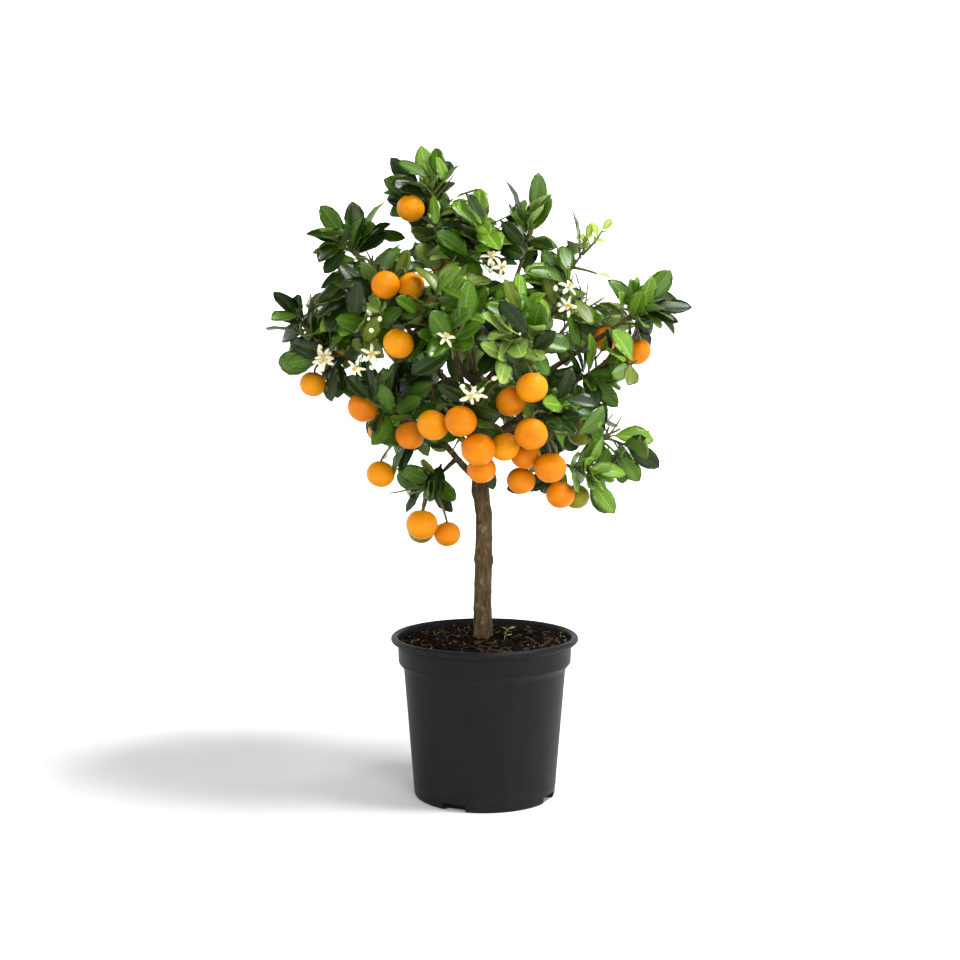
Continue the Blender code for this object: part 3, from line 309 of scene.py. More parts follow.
# Leaves: life size in metres, their outline, the way they bend, and how they keep clear
leaf = {
    "length": (0.032, 0.048), "leaderLength": 0.0421, "widthShare": (0.44, 0.56), "spacing": 0.0078,
    "rows": (0.0, 0.10, 0.20, 0.36, 0.56, 0.76, 0.91, 1.0), "columns": (-1.0, -0.52, -0.07, 0.07, 0.52, 1.0),
    "petiole": 0.075, "thick": 0.00045, "fold": (0.10, 0.42), "droop": (0.04, 0.20), "wave": 0.06,
    "angleFoot": 74.0, "angleTip": 50.0, "tries": 7, "swing": 47.0, "room": 0.0005, "roll": 24.0,
    "reach": 1.16, "leaderSlack": 0.003, "aimedSlack": 0.006, "reserve": (0.002, 0.006, 0.002),
    "spill": -0.0030, "firstShoot": 0.35, "firstLeader": 0.30, "leaderLeaves": 5, "stemLeaves": 5,
    "window": 0.055, "windowShare": 0.80, "skyDepth": 0.19, "clear": 0.0012, "near": 0.046, "bareStalk": 0.2,
    "most": 4000, "twist": 0.5, "lift": 0.12, "tipLean": 0.12, "aimSwing": 0.05, "widest": 0.55,
    "look": (0.35, 0.34, 0.95), "sideways": 0.55, "frontOrBack": 0.85, "backFrom": 0.05,
}

# Where the photograph shows fresh growth: place, radius of the patch, and its tone
freshSpots = (
    ((0.102, -0.060, 0.341), 0.026, "bright"), ((-0.094, -0.085, 0.482), 0.018, "bright"),
    ((0.185, 0.000, 0.515), 0.022, "bright"), ((-0.150, -0.030, 0.500), 0.020, "bright"),
)
toneShares = (("deep", 0.36), ("mid", 0.40), ("olive", 0.10), ("bright", 0.14))

# Blossoms that show: place, which way each looks, how many flowers and buds
blossoms = (
    ((-0.1605, -0.052, 0.4468), (-0.2, -1.0, 0.2), 2, 2),
    ((-0.1117, -0.098, 0.4425), (0.1, -1.0, -0.1), 2, 2),
    ((-0.0985, -0.105, 0.4755), (0.0, -1.0, 0.4), 0, 3),
    ((-0.0402, -0.135, 0.4571), (0.2, -1.0, 0.2), 1, 1),
    ((-0.0178, -0.142, 0.4185), (-0.3, -1.0, 0.0), 1, 1),
    ((0.0003, -0.142, 0.4212), (0.3, -1.0, 0.1), 1, 1),
    ((0.0068, -0.085, 0.5342), (0.2, -1.0, 0.6), 2, 2),
    ((0.0693, -0.095, 0.5014), (0.1, -1.0, 0.5), 2, 2),
    ((0.0900, 0.130, 0.5000), (0.3, 1.0, 0.3), 2, 2),
    ((-0.1100, 0.130, 0.4900), (-0.3, 1.0, 0.3), 2, 2),
    ((-0.0200, 0.160, 0.4300), (0.0, 1.0, 0.0), 1, 2),
    ((0.1500, 0.060, 0.4500), (1.0, 0.4, 0.2), 1, 2),
    ((-0.1700, 0.050, 0.5000), (-1.0, 0.4, 0.3), 1, 2),
)
flower = {
    "petals": 5, "petalLength": 0.0100, "petalWidth": 0.0038, "petalThick": 0.0005, "petalFold": 0.25,
    "petalRows": (0.0, 0.2, 0.45, 0.7, 0.9, 1.0), "petalColumns": (-1.0, -0.4, 0.4, 1.0), "petalWave": 0.05,
    "stamens": 10, "stamenFoot": 0.0012, "stamenTop": 0.0016, "stamenHeight": 0.0050, "stamenRadius": 0.00028,
    "anther": 0.00055, "knob": 0.0011, "knobHeight": 0.0045, "budLength": 0.0075, "budRadius": 0.0022,
    "stalkRadius": 0.0006, "stalkBow": 0.004, "spread": 0.009, "splay": 55, "seed": 77,
}

# Surface colours, as read off the photograph, from 0 to 255
tones = {
    "deep": {"top": (30, 49, 7), "other": (17, 32, 4), "rib": (48, 70, 18), "under": (78, 100, 44)},
    "mid": {"top": (66, 100, 14), "other": (46, 74, 8), "rib": (84, 114, 30), "under": (104, 130, 58)},
    "olive": {"top": (88, 104, 22), "other": (62, 80, 14), "rib": (106, 120, 36), "under": (116, 128, 58)},
    "bright": {"top": (98, 134, 36), "other": (74, 108, 22), "rib": (128, 162, 56), "under": (138, 166, 80)},
    "pale": {"top": (150, 178, 84), "other": (122, 154, 62), "rib": (190, 206, 130), "under": (168, 188, 112)},
    "young": {"top": (156, 182, 72), "other": (130, 158, 52), "rib": (198, 212, 112), "under": (184, 200, 104)},
}


def srgb(colour):
    # A colour read from 0 to 255 as the light that it stands for: each channel through the display curve
    channels = np.array(colour, float) / 255
    linear = np.where(channels <= 0.04045, channels / 12.92, ((channels + 0.055) / 1.055) ** 2.4)
    return (*linear.tolist(), 1.0)


# Shader maths: a wire is a socket that can be added, multiplied and taken away like a number
class wire:
    def __init__(self, tree, socket):
        self.tree, self.socket = tree, socket

    def maths(self, kind, first, second=0.0):
        node = self.tree.nodes.new("ShaderNodeMath")
        node.operation = kind
        for place, value in enumerate((first, second)):
            if isinstance(value, wire):
                self.tree.links.new(value.socket, node.inputs[place])
            else:
                node.inputs[place].default_value = value
        return wire(self.tree, node.outputs[0])

    def __add__(self, other):
        return self.maths("ADD", self, other)

    def __radd__(self, other):
        return self.maths("ADD", other, self)

    def __sub__(self, other):
        return self.maths("SUBTRACT", self, other)

    def __rsub__(self, other):
        return self.maths("SUBTRACT", other, self)

    def __mul__(self, other):
        return self.maths("MULTIPLY", self, other)

    def __rmul__(self, other):
        return self.maths("MULTIPLY", other, self)

    def __abs__(self):
        return self.maths("ABSOLUTE", self)

    def wave(self):
        return self.maths("SINE", self)

    def between(self, low, high):  # 0 below low, 1 above high, straight between them
        share = (self - low) * (1 / (high - low))
        return share.maths("MINIMUM", share.maths("MAXIMUM", share, 0.0), 1.0)


# A material under construction: its node tree, its shader and one method that adds a node
class finish:
    def __init__(self, name, shine=0.2, **sockets):
        self.material = bpy.data.materials.new(name)
        self.material.use_nodes = True
        self.tree = self.material.node_tree
        self.shader = self.tree.nodes["Principled BSDF"]
        self.feed(self.shader, {"Specular IOR Level": shine, **sockets})

    def feed(self, node, values):
        for key, value in values.items():
            socket = node.inputs[key.replace("_", " ") if isinstance(key, str) else key]
            if isinstance(value, wire):
                self.tree.links.new(value.socket, socket)
            else:
                socket.default_value = value

    def node(self, kind, settings=None, values=None, output=0):
        made = self.tree.nodes.new("ShaderNode" + kind)
        for key, value in (settings or {}).items():
            setattr(made, key, value)
        self.feed(made, values or {})
        return wire(self.tree, made.outputs[output])

    def place(self, scale=(1, 1, 1)):
        # The point on the object, stretched by a scale for each axis
        spot = self.node("TexCoord", output="Object")
        return self.node("Mapping", {}, {"Vector": spot, "Scale": scale})

    def noise(self, size, detail=3.0, stretch=(1, 1, 1), rough=0.55):
        # Cloudy noise from 0 to 1 whose lumps measure about size, in metres
        values = {"Vector": self.place(stretch), "Scale": 1 / size, "Detail": detail, "Roughness": rough}
        return self.node("TexNoise", {}, values, "Fac")

    def cells(self, size, stretch=(1, 1, 1)):
        # Distance from the middle of each cell of about that size
        return self.node("TexVoronoi", {}, {"Vector": self.place(stretch), "Scale": 1 / size}, "Distance")

    def blend(self, share, first, second):
        return self.node("Mix", {"data_type": "RGBA"}, {0: share, 6: first, 7: second}, 2)

    def relief(self, height, depth):
        bump = self.node("Bump", {}, {"Height": height, "Distance": depth, "Strength": 1.0})
        self.feed(self.shader, {"Normal": bump})


# Side veins: how many along a blade, how far they lean forwards, and how strongly they show
veins = {"count": 62.0, "lean": 0.16, "from": 0.80, "fade": 0.6, "show": 0.32, "depth": -0.6}


def leafFinish(name, colour, other, roughness, depth):
    # Blade colour mixed by large and small noise, with fine side veins drawn from the leaf's own map
    skin = finish(name, 0.22, Roughness=roughness)
    cloud = skin.noise(0.022, 3.0).between(0.32, 0.68)
    fine = skin.noise(0.0025, 2.0)
    chart = skin.node("UVMap", {"uv_map": "blade"})
    along = skin.node("SeparateXYZ", {}, {"Vector": chart}, "X")
    across = abs(skin.node("SeparateXYZ", {}, {"Vector": chart}, "Y") - 0.5) * 2
    vein = ((along - across * veins["lean"]) * veins["count"]).wave().between(veins["from"], 1.0)
    vein = vein * (1 - across * veins["fade"])
    base = skin.blend(cloud * 0.7 + fine * 0.3, srgb(colour), srgb(other))
    paler = srgb([min(255, c * 1.35 + 10) for c in colour])
    skin.feed(skin.shader, {"Base Color": skin.blend(vein * veins["show"], base, paler)})
    skin.feed(skin.shader, {"Roughness": roughness + fine * 0.10})
    skin.relief(fine * 0.4 + vein * veins["depth"], depth)
    return skin.material


def leafFinishes(name):
    # The upper side, the under side and the midrib of one tone
    tone = tones[name]
    soft = 0.10 if name in ("young", "pale") else 0.0
    top = leafFinish(name + "Top", tone["top"], tone["other"], 0.26 + soft, 0.00012)
    under = leafFinish(name + "Under", tone["under"], [c * 0.86 for c in tone["under"]], 0.50, 0.00010)
    rib = finish(name + "Rib", Roughness=0.45)
    cloud = rib.noise(0.006)
    rib.feed(rib.shader, {"Base Color": rib.blend(cloud * 0.5, srgb(tone["rib"]), srgb(tone["top"]))})
    return [top, under, rib.material]


def fruitFinish(name, colour, other, low):
    # Orange peel: a cloudy blush, darker oil pores, and a waxy skin
    peel = finish(name, 0.12, Coat_Roughness=0.28)
    blush = peel.noise(0.018, 2.0).between(0.30, 0.70)
    pores = peel.cells(0.00085).between(0.10, 0.45)
    patch = peel.noise(0.006, 3.0).between(0.62, 0.80)
    skin = peel.blend(blush, srgb(colour), srgb(other))
    skin = peel.blend(patch * 0.25, skin, srgb(low))
    peel.feed(peel.shader, {"Base Color": peel.blend((1 - pores) * 0.35, skin, srgb(low))})
    peel.feed(peel.shader, {"Roughness": 0.34 + blush * 0.08, "Coat Weight": 0.02 + pores * 0.03})
    peel.relief(pores, 0.00016)
    return peel.material


barkLook = {
    "dark": (56, 45, 31), "light": (102, 84, 60), "crack": (44, 35, 24), "fleck": (150, 134, 106),
    "depth": 0.0007,
}


def barkFinish():
    # Grey-brown bark: streaks drawn out upwards, dark cracks and pale flecks
    bark = finish("bark", 0.08)
    streak = bark.noise(0.0042, 5.0, (1, 1, 0.22), 0.65)
    crack = bark.noise(0.0026, 4.0, (1, 1, 0.16)).between(0.50, 0.68)
    fleck = bark.noise(0.0060, 4.0, (1, 1, 0.6)).between(0.58, 0.70)
    colour = bark.blend(streak.between(0.30, 0.72), srgb(barkLook["dark"]), srgb(barkLook["light"]))
    colour = bark.blend(crack * 0.6, colour, srgb(barkLook["crack"]))
    colour = bark.blend(fleck * 0.45, colour, srgb(barkLook["fleck"]))
    bark.feed(bark.shader, {"Base Color": colour, "Roughness": 0.74 + streak * 0.2})
    bark.relief(streak - crack * 0.8 + fleck * 0.15, barkLook["depth"])
    return bark.material


def plainFinish(name, colour, other, size, roughness, depth, stretch=(1, 1, 1)):
    # Two close colours mixed by noise of one size, and the same noise as relief
    coat = finish(name, 0.04 if roughness > 0.8 else 0.15)
    cloud = coat.noise(size, 4.0, stretch)
    coat.feed(coat.shader, {"Base Color": coat.blend(cloud.between(0.3, 0.7), srgb(colour), srgb(other))})
    coat.feed(coat.shader, {"Roughness": roughness + (cloud - 0.5) * 0.15})
    coat.relief(cloud, depth)
    return coat.material


potLook = {"dark": (14, 15, 17), "light": (20, 21, 24), "scuff": (66, 66, 68), "rough": 0.46, "depth": 0.00010}


def potFinish():
    # Charcoal plastic: a fine satin grain, faint streaks from the mould, scuffs and dust at lip and foot
    plastic = finish("potPlastic", 0.12)
    grain = plastic.noise(0.0006, 2.0)
    streak = plastic.noise(0.012, 3.0, (1, 1, 0.06)).between(0.35, 0.65)
    scuff = plastic.noise(0.0035, 5.0, (1, 1, 3.0), 0.7).between(0.60, 0.74)
    height = plastic.node("SeparateXYZ", {}, {"Vector": plastic.place()}, "Z")
    worn = height.between(0.150, 0.164) * 0.5 + (1 - height.between(0.0, 0.020)) * 0.5
    colour = plastic.blend(streak * 0.5, srgb(potLook["dark"]), srgb(potLook["light"]))
    colour = plastic.blend(scuff * (worn + 0.12), colour, srgb(potLook["scuff"]))
    plastic.feed(plastic.shader, {"Base Color": colour})
    plastic.feed(plastic.shader, {"Roughness": potLook["rough"] + grain * 0.10 + scuff * 0.10})
    plastic.relief(grain * 0.5 + streak * 0.5, potLook["depth"])
    return plastic.material


print("finishes ready")


# Surfaces: whole arrays of points on a grid, then one mesh for each piece

def unit(vectors):
    # Each vector divided by its length
    vectors = np.asarray(vectors, float)
    return vectors / np.maximum(np.linalg.norm(vectors, axis=-1, keepdims=True), 1e-12)


def circle(count):
    # Angles spread evenly round one turn
    return np.arange(count) * 2 * math.pi / count


def piece(name, points, faces, materials, slotName, faceSlots=None, chart=None, smooth=True):
    # One mesh object at the origin from an array of points and lists of faces
    mesh = bpy.data.meshes.new(name)
    mesh.from_pydata(points.tolist(), [], faces)
    for material in materials:
        mesh.materials.append(material)
    if faceSlots is not None:
        mesh.polygons.foreach_set("material_index", np.asarray(faceSlots, np.int32))
    mesh.polygons.foreach_set("use_smooth", np.full(len(faces), smooth))
    if chart is not None:
        corners = np.zeros(len(mesh.loops), np.int32)
        mesh.loops.foreach_get("vertex_index", corners)
        layer = mesh.uv_layers.new(name="blade")
        layer.uv.foreach_set("vector", np.asarray(chart, np.float32)[corners].ravel())
    mesh.update()
    made = bpy.data.objects.new(name, mesh)
    bpy.context.scene.collection.objects.link(made)
    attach(made, "root")
    return made


def crossAxes(along, leaning=slant):
    # Two directions square to a limb's own: the cross product with a slanting one, and with that again
    side = unit(np.cross(along, leaning))
    return side, np.cross(along, side)


def tiled(faces, count, size):
    # The faces of one shape repeated for many, each with its indices moved on by the shape's size
    moved = faces[None] + (np.arange(count) * size)[:, None, None]
    return moved.reshape(-1, faces.shape[1]).tolist()


def shellFaces(rings, sides, count=1, inward=False):
    # Faces of rings of points, each joined to the next, with a fan round an end point at each end
    k = np.arange(sides)
    m = (k + 1) % sides
    low = np.arange(rings - 1)[:, None] * sides
    top = (rings - 1) * sides
    quads = np.stack((low + k, low + m, low + sides + m, low + sides + k), axis=-1).reshape(-1, 4)
    first = np.stack((m, k, np.full(sides, rings * sides)), axis=-1)
    last = np.stack((top + k, top + m, np.full(sides, rings * sides + 1)), axis=-1)
    fans = np.concatenate((first, last))
    if inward:  # the rings run the other way round
        quads, fans = quads[:, ::-1], fans[:, ::-1]
    size = rings * sides + 2
    return tiled(quads, count, size) + tiled(fans, count, size)


def shellSlots(kinds, rings, sides):
    # The material number of each face that shellFaces lists, from one number for each shape
    return np.concatenate((np.repeat(kinds, (rings - 1) * sides), np.repeat(kinds, 2 * sides)))


def closedRings(grid, low, high):
    # Rings round the upright axis, closed at two heights on that axis
    points = np.concatenate((grid.reshape(-1, 3), [(0, 0, low)], [(0, 0, high)]))
    return points, shellFaces(*grid.shape[:2])


def tubes(paths, radii, sides, reference=None):
    # Rings carried along paths: the point plus two cross directions times cosine and sine of the angle.
    # paths is (tubes, rings, 3) and radii (tubes, rings) or (tubes, rings, sides); a fan closes each end.
    paths = np.asarray(paths, float)
    count, rings, _ = paths.shape
    if reference is None:
        reference = unit(np.cross(paths[:, -1] - paths[:, 0], (0.2, 0.1, 1.0)))[:, None]
    along = unit(np.gradient(paths, axis=1))
    side, other = crossAxes(along, np.broadcast_to(np.asarray(reference, float), along.shape))
    angle = circle(sides)
    radii = np.asarray(radii, float)
    radii = radii[..., None] if radii.ndim == 2 else radii
    ring = side[:, :, None] * np.cos(angle)[:, None] + other[:, :, None] * np.sin(angle)[:, None]
    body = (paths[:, :, None] + ring * radii[..., None]).reshape(count, rings * sides, 3)
    points = np.concatenate((body, paths[:, :1], paths[:, -1:]), axis=1)
    return points.reshape(-1, 3), shellFaces(rings, sides, count)


def balls(centres, axes, radii, rings, sides, shape):
    # Round bodies: shape(polar angle, turn) gives the radius share and the height share on a grid
    polar, turn = np.linspace(0, math.pi, rings + 1)[1:-1], circle(sides)
    wide, high = shape(polar[:, None], turn[None, :])
    poles = [float(shape(np.full((1, 1), angle), np.zeros((1, 1)))[1][0, 0]) for angle in (0.0, math.pi)]
    side, other = crossAxes(axes, (0.31, 0.93, 0.17))
    flat = side[:, None, None] * np.cos(turn)[:, None] + other[:, None, None] * np.sin(turn)[:, None]
    size = np.asarray(radii, float)[:, None, None, None]
    body = centres[:, None, None] + (flat * wide[..., None] + axes[:, None, None] * high[..., None]) * size
    ends = [centres[:, None] + axes[:, None] * pole * size[:, 0] for pole in poles]
    points = np.concatenate((body.reshape(len(centres), -1, 3), *ends), axis=1)
    return points.reshape(-1, 3), shellFaces(rings - 1, sides, len(centres), inward=True)


def blades(roots, along, face, lengths, widths, bends, form):
    # Thin leaves with two skins that share their margin. Across is the column share times half the outline;
    # along is the row share times the length; the height is the fold times the distance from the midrib,
    # less the droop times the row share squared, plus a margin wave.
    rows, columns = np.array(form["rows"]), np.array(form["columns"])
    u, v = rows[:, None], columns[None, :]
    outline = form["outline"](u)
    length, width = lengths[:, None, None], widths[:, None, None]
    fold, droop, phase, twist = (bends[:, i][:, None, None] for i in range(4))
    x = v * outline * width / 2
    z = np.abs(x) * fold - droop * length * u ** 2
    z = z + form["wave"] * width * np.sin(9.0 * u + phase) * v ** 2 * outline
    z = z + x * np.tan(twist) * u
    y = length * (u - 0.35 * droop ** 2 * u ** 3) + 0 * x
    edge = (np.abs(v) < 1) & (u > 0) & (u < 1)
    thick = form["thick"] / 2 * edge * (1 - v ** 2 * 0.5)
    across = unit(np.cross(face, along))

    def placed(height):
        parts = (across, x), (along, y), (face, height)
        return roots[:, None, None] + sum(axis[:, None, None] * size[..., None] for axis, size in parts)

    count, nu, nv = len(roots), len(rows), len(columns)
    upper = placed(z + thick).reshape(count, -1, 3)
    lower = placed(z - thick).reshape(count, -1, 3)
    inner = np.flatnonzero(edge.ravel())
    points = np.concatenate((upper, lower[:, inner]), axis=1)
    below = np.arange(nu * nv)
    below[inner] = nu * nv + np.arange(len(inner))
    i, j = np.meshgrid(np.arange(nu - 1), np.arange(nv - 1), indexing="ij")
    a = (i * nv + j).ravel()
    quads = np.stack((a, a + 1, a + nv + 1, a + nv), axis=-1)
    under = below[quads][:, ::-1]
    faces = tiled(np.concatenate((quads, under)), count, points.shape[1])
    middle = (j.ravel() == (nv - 1) // 2).astype(int) * 2
    slots = np.tile(np.concatenate((middle, np.ones(len(under), int))), count)
    grid = np.stack(np.broadcast_arrays(u, (v + 1) / 2), axis=-1).reshape(-1, 2)
    chart = np.tile(np.concatenate((grid, grid[inner])), (count, 1))
    return points.reshape(-1, 3), faces, slots, chart


def ripple(points, size, seed, count=14):
    # Smooth noise from about -1 to 1: a sum of waves in random directions whose length is about size
    draw = np.random.default_rng(seed)
    waves = unit(draw.normal(size=(count, 3))) * draw.uniform(0.7, 1.6, (count, 1)) * 2 * math.pi / size
    phases = draw.uniform(0, 2 * math.pi, count)
    return np.cos(points @ waves.T + phases).sum(axis=-1) / math.sqrt(count / 2) / 1.6


def bezier(points, shares):
    # Points of a Bezier curve at many shares: neighbours mixed again and again until one is left
    row = [np.asarray(point, float)[None] for point in points]
    t = np.asarray(shares, float)[:, None]
    while len(row) > 1:
        row = [a + (b - a) * t for a, b in zip(row, row[1:])]
    return row[0]


# Growth: the source's rule for limbs, stems and twigs. A limb is a row of points with a radius at each.
class limb:
    def __init__(self, owner, points, radii, curve=None):
        self.owner, self.points, self.radii = owner, np.array(points, float), np.array(radii, float)
        self.curve = curve  # Bezier corners, where the drawn limb is smoother than the tested one
        self.tone, self.tip, self.leafy, self.parent = None, None, False, None

    def at(self, share):  # the point, radius and direction at a share of the limb's segments
        spot = share * (len(self.points) - 1)
        i = min(int(spot), len(self.points) - 2)
        t = spot - i
        step = self.points[i + 1] - self.points[i]
        return self.points[i] + step * t, self.radii[i] * (1 - t) + self.radii[i + 1] * t, unit(step)


def trunkPoints(heights):
    # The trunk's axis at some heights, eased between the named ones by 3s^2 - 2s^3
    table = np.array(trunk["axis"])
    i = np.clip(np.searchsorted(table[:, 0], heights - 1e-9) - 1, 0, len(table) - 2)
    share = np.clip((heights - table[i, 0]) / (table[i + 1, 0] - table[i, 0]), 0, 1)
    ease = (share * share * (3 - 2 * share))[:, None]
    spots = table[i, 1:] + (table[i + 1, 1:] - table[i, 1:]) * ease
    return np.concatenate((spots, heights[:, None]), axis=1)


def trunkRadii(heights):
    # Two straight tapers, a root flare that dies away upwards, and a bell for each swelling
    foot, tip = trunk["axis"][0][0], trunk["axis"][-1][0]
    knees = (foot, trunk["stemHeight"], tip)
    radii = np.interp(heights, knees, (trunk["footRadius"], trunk["stemRadius"], trunk["tipRadius"]))
    radii = radii + trunk["flare"] * np.exp(-(heights - foot) / trunk["flareHeight"])
    for knot, swell in trunk["swellings"]:
        radii = radii + swell * np.exp(-(((heights - knot) / trunk["swellSpread"]) ** 2))
    return radii


massNames = list(masses)
massCentres = np.array([masses[name][0] for name in massNames])
massRadii = np.array([masses[name][1] for name in massNames])


def inCell(mass, points, margin=0.0005):
    # True where each point is on this mass's side of the plane towards every other mass
    own = massNames.index(mass)
    power = ((np.atleast_2d(points)[:, None] - massCentres) ** 2).sum(-1) - massRadii ** 2
    apart = 2 * np.linalg.norm(massCentres - massCentres[own], axis=1) * margin
    apart[own] = -1
    return bool((power - power[:, own:own + 1] >= apart).all())


def entryOf(mass, foot):
    # Where the bough ends, on the line to the mass's centre, and the direction of that line
    centre, radius = np.array(masses[mass][0]), masses[mass][1]
    direction = unit(centre - foot)
    if mass in boughs:
        outward = unit(centre - crownAxis)
        direction = unit(direction * bough["towards"] + up * bough["upwards"] + outward * bough["outwards"])
    reach, step, deepest = 0.0, bough["step"], bough["deepest"] * radius
    while reach < deepest and inCell(mass, centre - direction * (reach + 2 * step), bough["margin"]):
        reach += step
    return centre - direction * reach, direction


def growLimbs():
    # The trunk, and for each bough a curve that leaves its parent sideways and enters its mass
    heights = np.linspace(trunk["axis"][0][0], trunk["axis"][-1][0], trunk["rings"])
    grown = {"trunk": limb("trunk", trunkPoints(heights), trunkRadii(heights))}
    for mass, (parent, spot, radius) in boughs.items():
        if parent == "trunk":
            start, along = trunkPoints(np.array([spot]))[0], up
        else:
            start, _, along = grown[parent].at(spot)
        end, direction = entryOf(mass, start)
        away = end - start
        span = np.linalg.norm(away)
        away = unit(away - along * away.dot(along))
        leaving = unit(away + up * (bough["rise"] if end[2] > start[2] else bough["sink"]))
        first, second = start + leaving * span * bough["leaving"], end - direction * span * bough["entering"]
        corners = [start, first, second, end]
        shares = np.linspace(0, 1, bough["points"])
        radii = radius * (1 - (1 - bough["taper"]) * shares)
        grown[mass] = limb(mass, bezier(corners, shares), radii, corners)
    return grown


def segmentGaps(starts, ends, froms, tos):
    # Least distances between each segment of one set and each of another, by clamping the two shares
    u = (ends - starts)[:, None]
    v = (tos - froms)[None]
    w = starts[:, None] - froms[None]
    uu, uv, vv = (u * u).sum(-1), (u * v).sum(-1), (v * v).sum(-1)
    uw, vw = (u * w).sum(-1), (v * w).sum(-1)
    den = uu * vv - uv * uv
    s = np.where(den > 1e-16, np.clip((uv * vw - vv * uw) / np.maximum(den, 1e-16), 0, 1), 0)
    t = np.clip((uv * s + vw) / np.maximum(vv, 1e-16), 0, 1)
    s = np.clip((uv * t - uw) / np.maximum(uu, 1e-16), 0, 1)
    return np.linalg.norm(w + u * s[..., None] - v * t[..., None], axis=-1)


# Everything that growth keeps clear of: segments of wood, round fruits and the leaves already placed
class thicket:
    def __init__(self, limbs):
        self.starts, self.ends, self.radii = np.zeros((0, 3)), np.zeros((0, 3)), np.zeros(0)
        self.owners, self.twigs = [], []
        for grown in limbs.values():
            self.add("limbs", grown)
        self.balls = [ball for group in fruits.values() for ball in group]
        eye = np.array((0.0, -view["distance"], view["height"]))
        spots = [np.array((x, 0.0, z)) for x, z, _ in skies]
        rays = [unit(spot - eye) * leaf["skyDepth"] for spot in spots]
        looks = [np.array((0.0, -leaf["window"], 0.0)) for _ in self.balls]
        self.openFrom = np.array([ball[:3] for ball in self.balls] + [a - b for a, b in zip(spots, rays)])
        self.openTo = self.openFrom + np.array(looks + [ray * 2 for ray in rays])
        sizes = [ball[3] * leaf["windowShare"] for ball in self.balls]
        self.openSizes = np.array(sizes + [size for _, _, size in skies])
        self.leaves = []
        self.leafCentres = np.zeros((leaf["most"], 3))

    def add(self, owner, grown):  # one segment for each step of a limb, as thick as its thicker end
        self.starts = np.concatenate((self.starts, grown.points[:-1]))
        self.ends = np.concatenate((self.ends, grown.points[1:]))
        self.radii = np.concatenate((self.radii, np.maximum(grown.radii[:-1], grown.radii[1:])))
        self.owners += [owner] * (len(grown.points) - 1)
        self.twigs += [grown] * (len(grown.points) - 1)

    def drop(self, reserved):  # gives back the room that was kept for tip leaves
        kept = [i for i, grown in enumerate(self.twigs) if grown not in reserved]
        self.starts, self.ends, self.radii = self.starts[kept], self.ends[kept], self.radii[kept]
        self.owners, self.twigs = [self.owners[i] for i in kept], [self.twigs[i] for i in kept]

    def woodGap(self, starts, ends, keep):
        # The least gap between the segments and the wood that keep(owner, twig) picks
        middle = (starts.min(0) + ends.max(0)) / 2
        size = np.linalg.norm(np.concatenate((starts, ends)) - middle, axis=1).max()
        reach = size + 0.02 + np.linalg.norm(self.ends - self.starts, axis=1) / 2
        near = np.linalg.norm((self.starts + self.ends) / 2 - middle, axis=1) < reach
        near = [i for i in np.flatnonzero(near) if keep(self.owners[i], self.twigs[i])]
        if not near:
            return 1.0
        gaps = segmentGaps(starts, ends, self.starts[near], self.ends[near]) - self.radii[near]
        return gaps.min()

    def openGap(self, starts, ends):
        # How far segments stay out of the sky, and of the space in front of each fruit that shows
        return (segmentGaps(starts, ends, self.openFrom, self.openTo) - self.openSizes).min()

    def ballGap(self, starts, ends):  # the least gap between the segments and the fruits
        spots = np.array([ball[:3] for ball in self.balls])
        sizes = np.array([ball[3] for ball in self.balls])
        return (segmentGaps(starts, ends, spots, spots + up * 1e-5) - sizes).min()


# One mass: its space, its seeds, its twigs, and the way that its leaves look
class cluster:
    def __init__(self, name, number):
        self.name = name
        self.centre, self.radius = np.array(masses[name][0]), masses[name][1]
        self.outward = unit(self.centre - crownAxis)
        facing = -1.0 if self.centre[1] < leaf["backFrom"] else 1.0
        self.lit = unit(self.outward * leaf["sideways"] + np.array((0.0, facing * leaf["frontOrBack"], 0.0)))
        self.random = random.Random(1000 + 37 * number)   # the source's own draws
        self.finer = random.Random(7000 + 53 * number)    # draws for what only this script adds
        self.leaders, self.shoots, self.stalks = [], [], []
        self.fillers, self.sides, self.fruits = [], [], []


def growStem(mass, limbs):
    # The stem runs on from the bough's tip, or from the trunk's, through the middle of the mass
    carrier = limbs.get(mass.name, limbs["trunk"])
    direction = unit(carrier.points[-1] - carrier.points[-2])
    if mass.name in boughs:
        _, direction = entryOf(mass.name, carrier.points[0])
    start = carrier.points[-1] + direction * twig["stemGap"]
    onward = unit(direction * twig["stemLean"] + up * twig["stemRise"])
    end = mass.centre + onward * mass.radius * twig["stemReach"]
    foot = min(twig["stemRadius"], carrier.radii[-1] * 0.98)
    points = [start, (start + mass.centre) / 2, mass.centre, end]
    mass.stem = limb(mass.name, points, [foot * share for share in twig["stemTaper"]])
    mass.stemDirection = direction
    mass.stemFoot = carrier.points[-1]


def footOnStem(mass, point):
    # The place on the stem nearest to a point, set back towards the stem's foot
    first, step, count = twig["feet"]
    shares = [first + step * i for i in range(count)]
    nearest = min(shares, key=lambda share: np.linalg.norm(mass.stem.at(share)[0] - point))
    return mass.stem.at(max(shares[0], nearest - twig["setBack"]))[0]


def twigTo(mass, tip, rise):
    # A twig from the stem to its tip, which leaves flat and turns up by the share that rise gives
    start = footOnStem(mass, tip)
    away = tip - start
    out = twig["bendOut"]
    bend = start + np.array((away[0] * out, away[1] * out, away[2] * (twig["bendUp"] - rise)))
    corners = [start, bend, tip]
    shares = np.linspace(0, 1, 3)
    radii = twig["radius"] * (1 - (1 - twig["tipShare"]) * shares)
    return limb(mass.name, bezier(corners, shares), radii, corners)


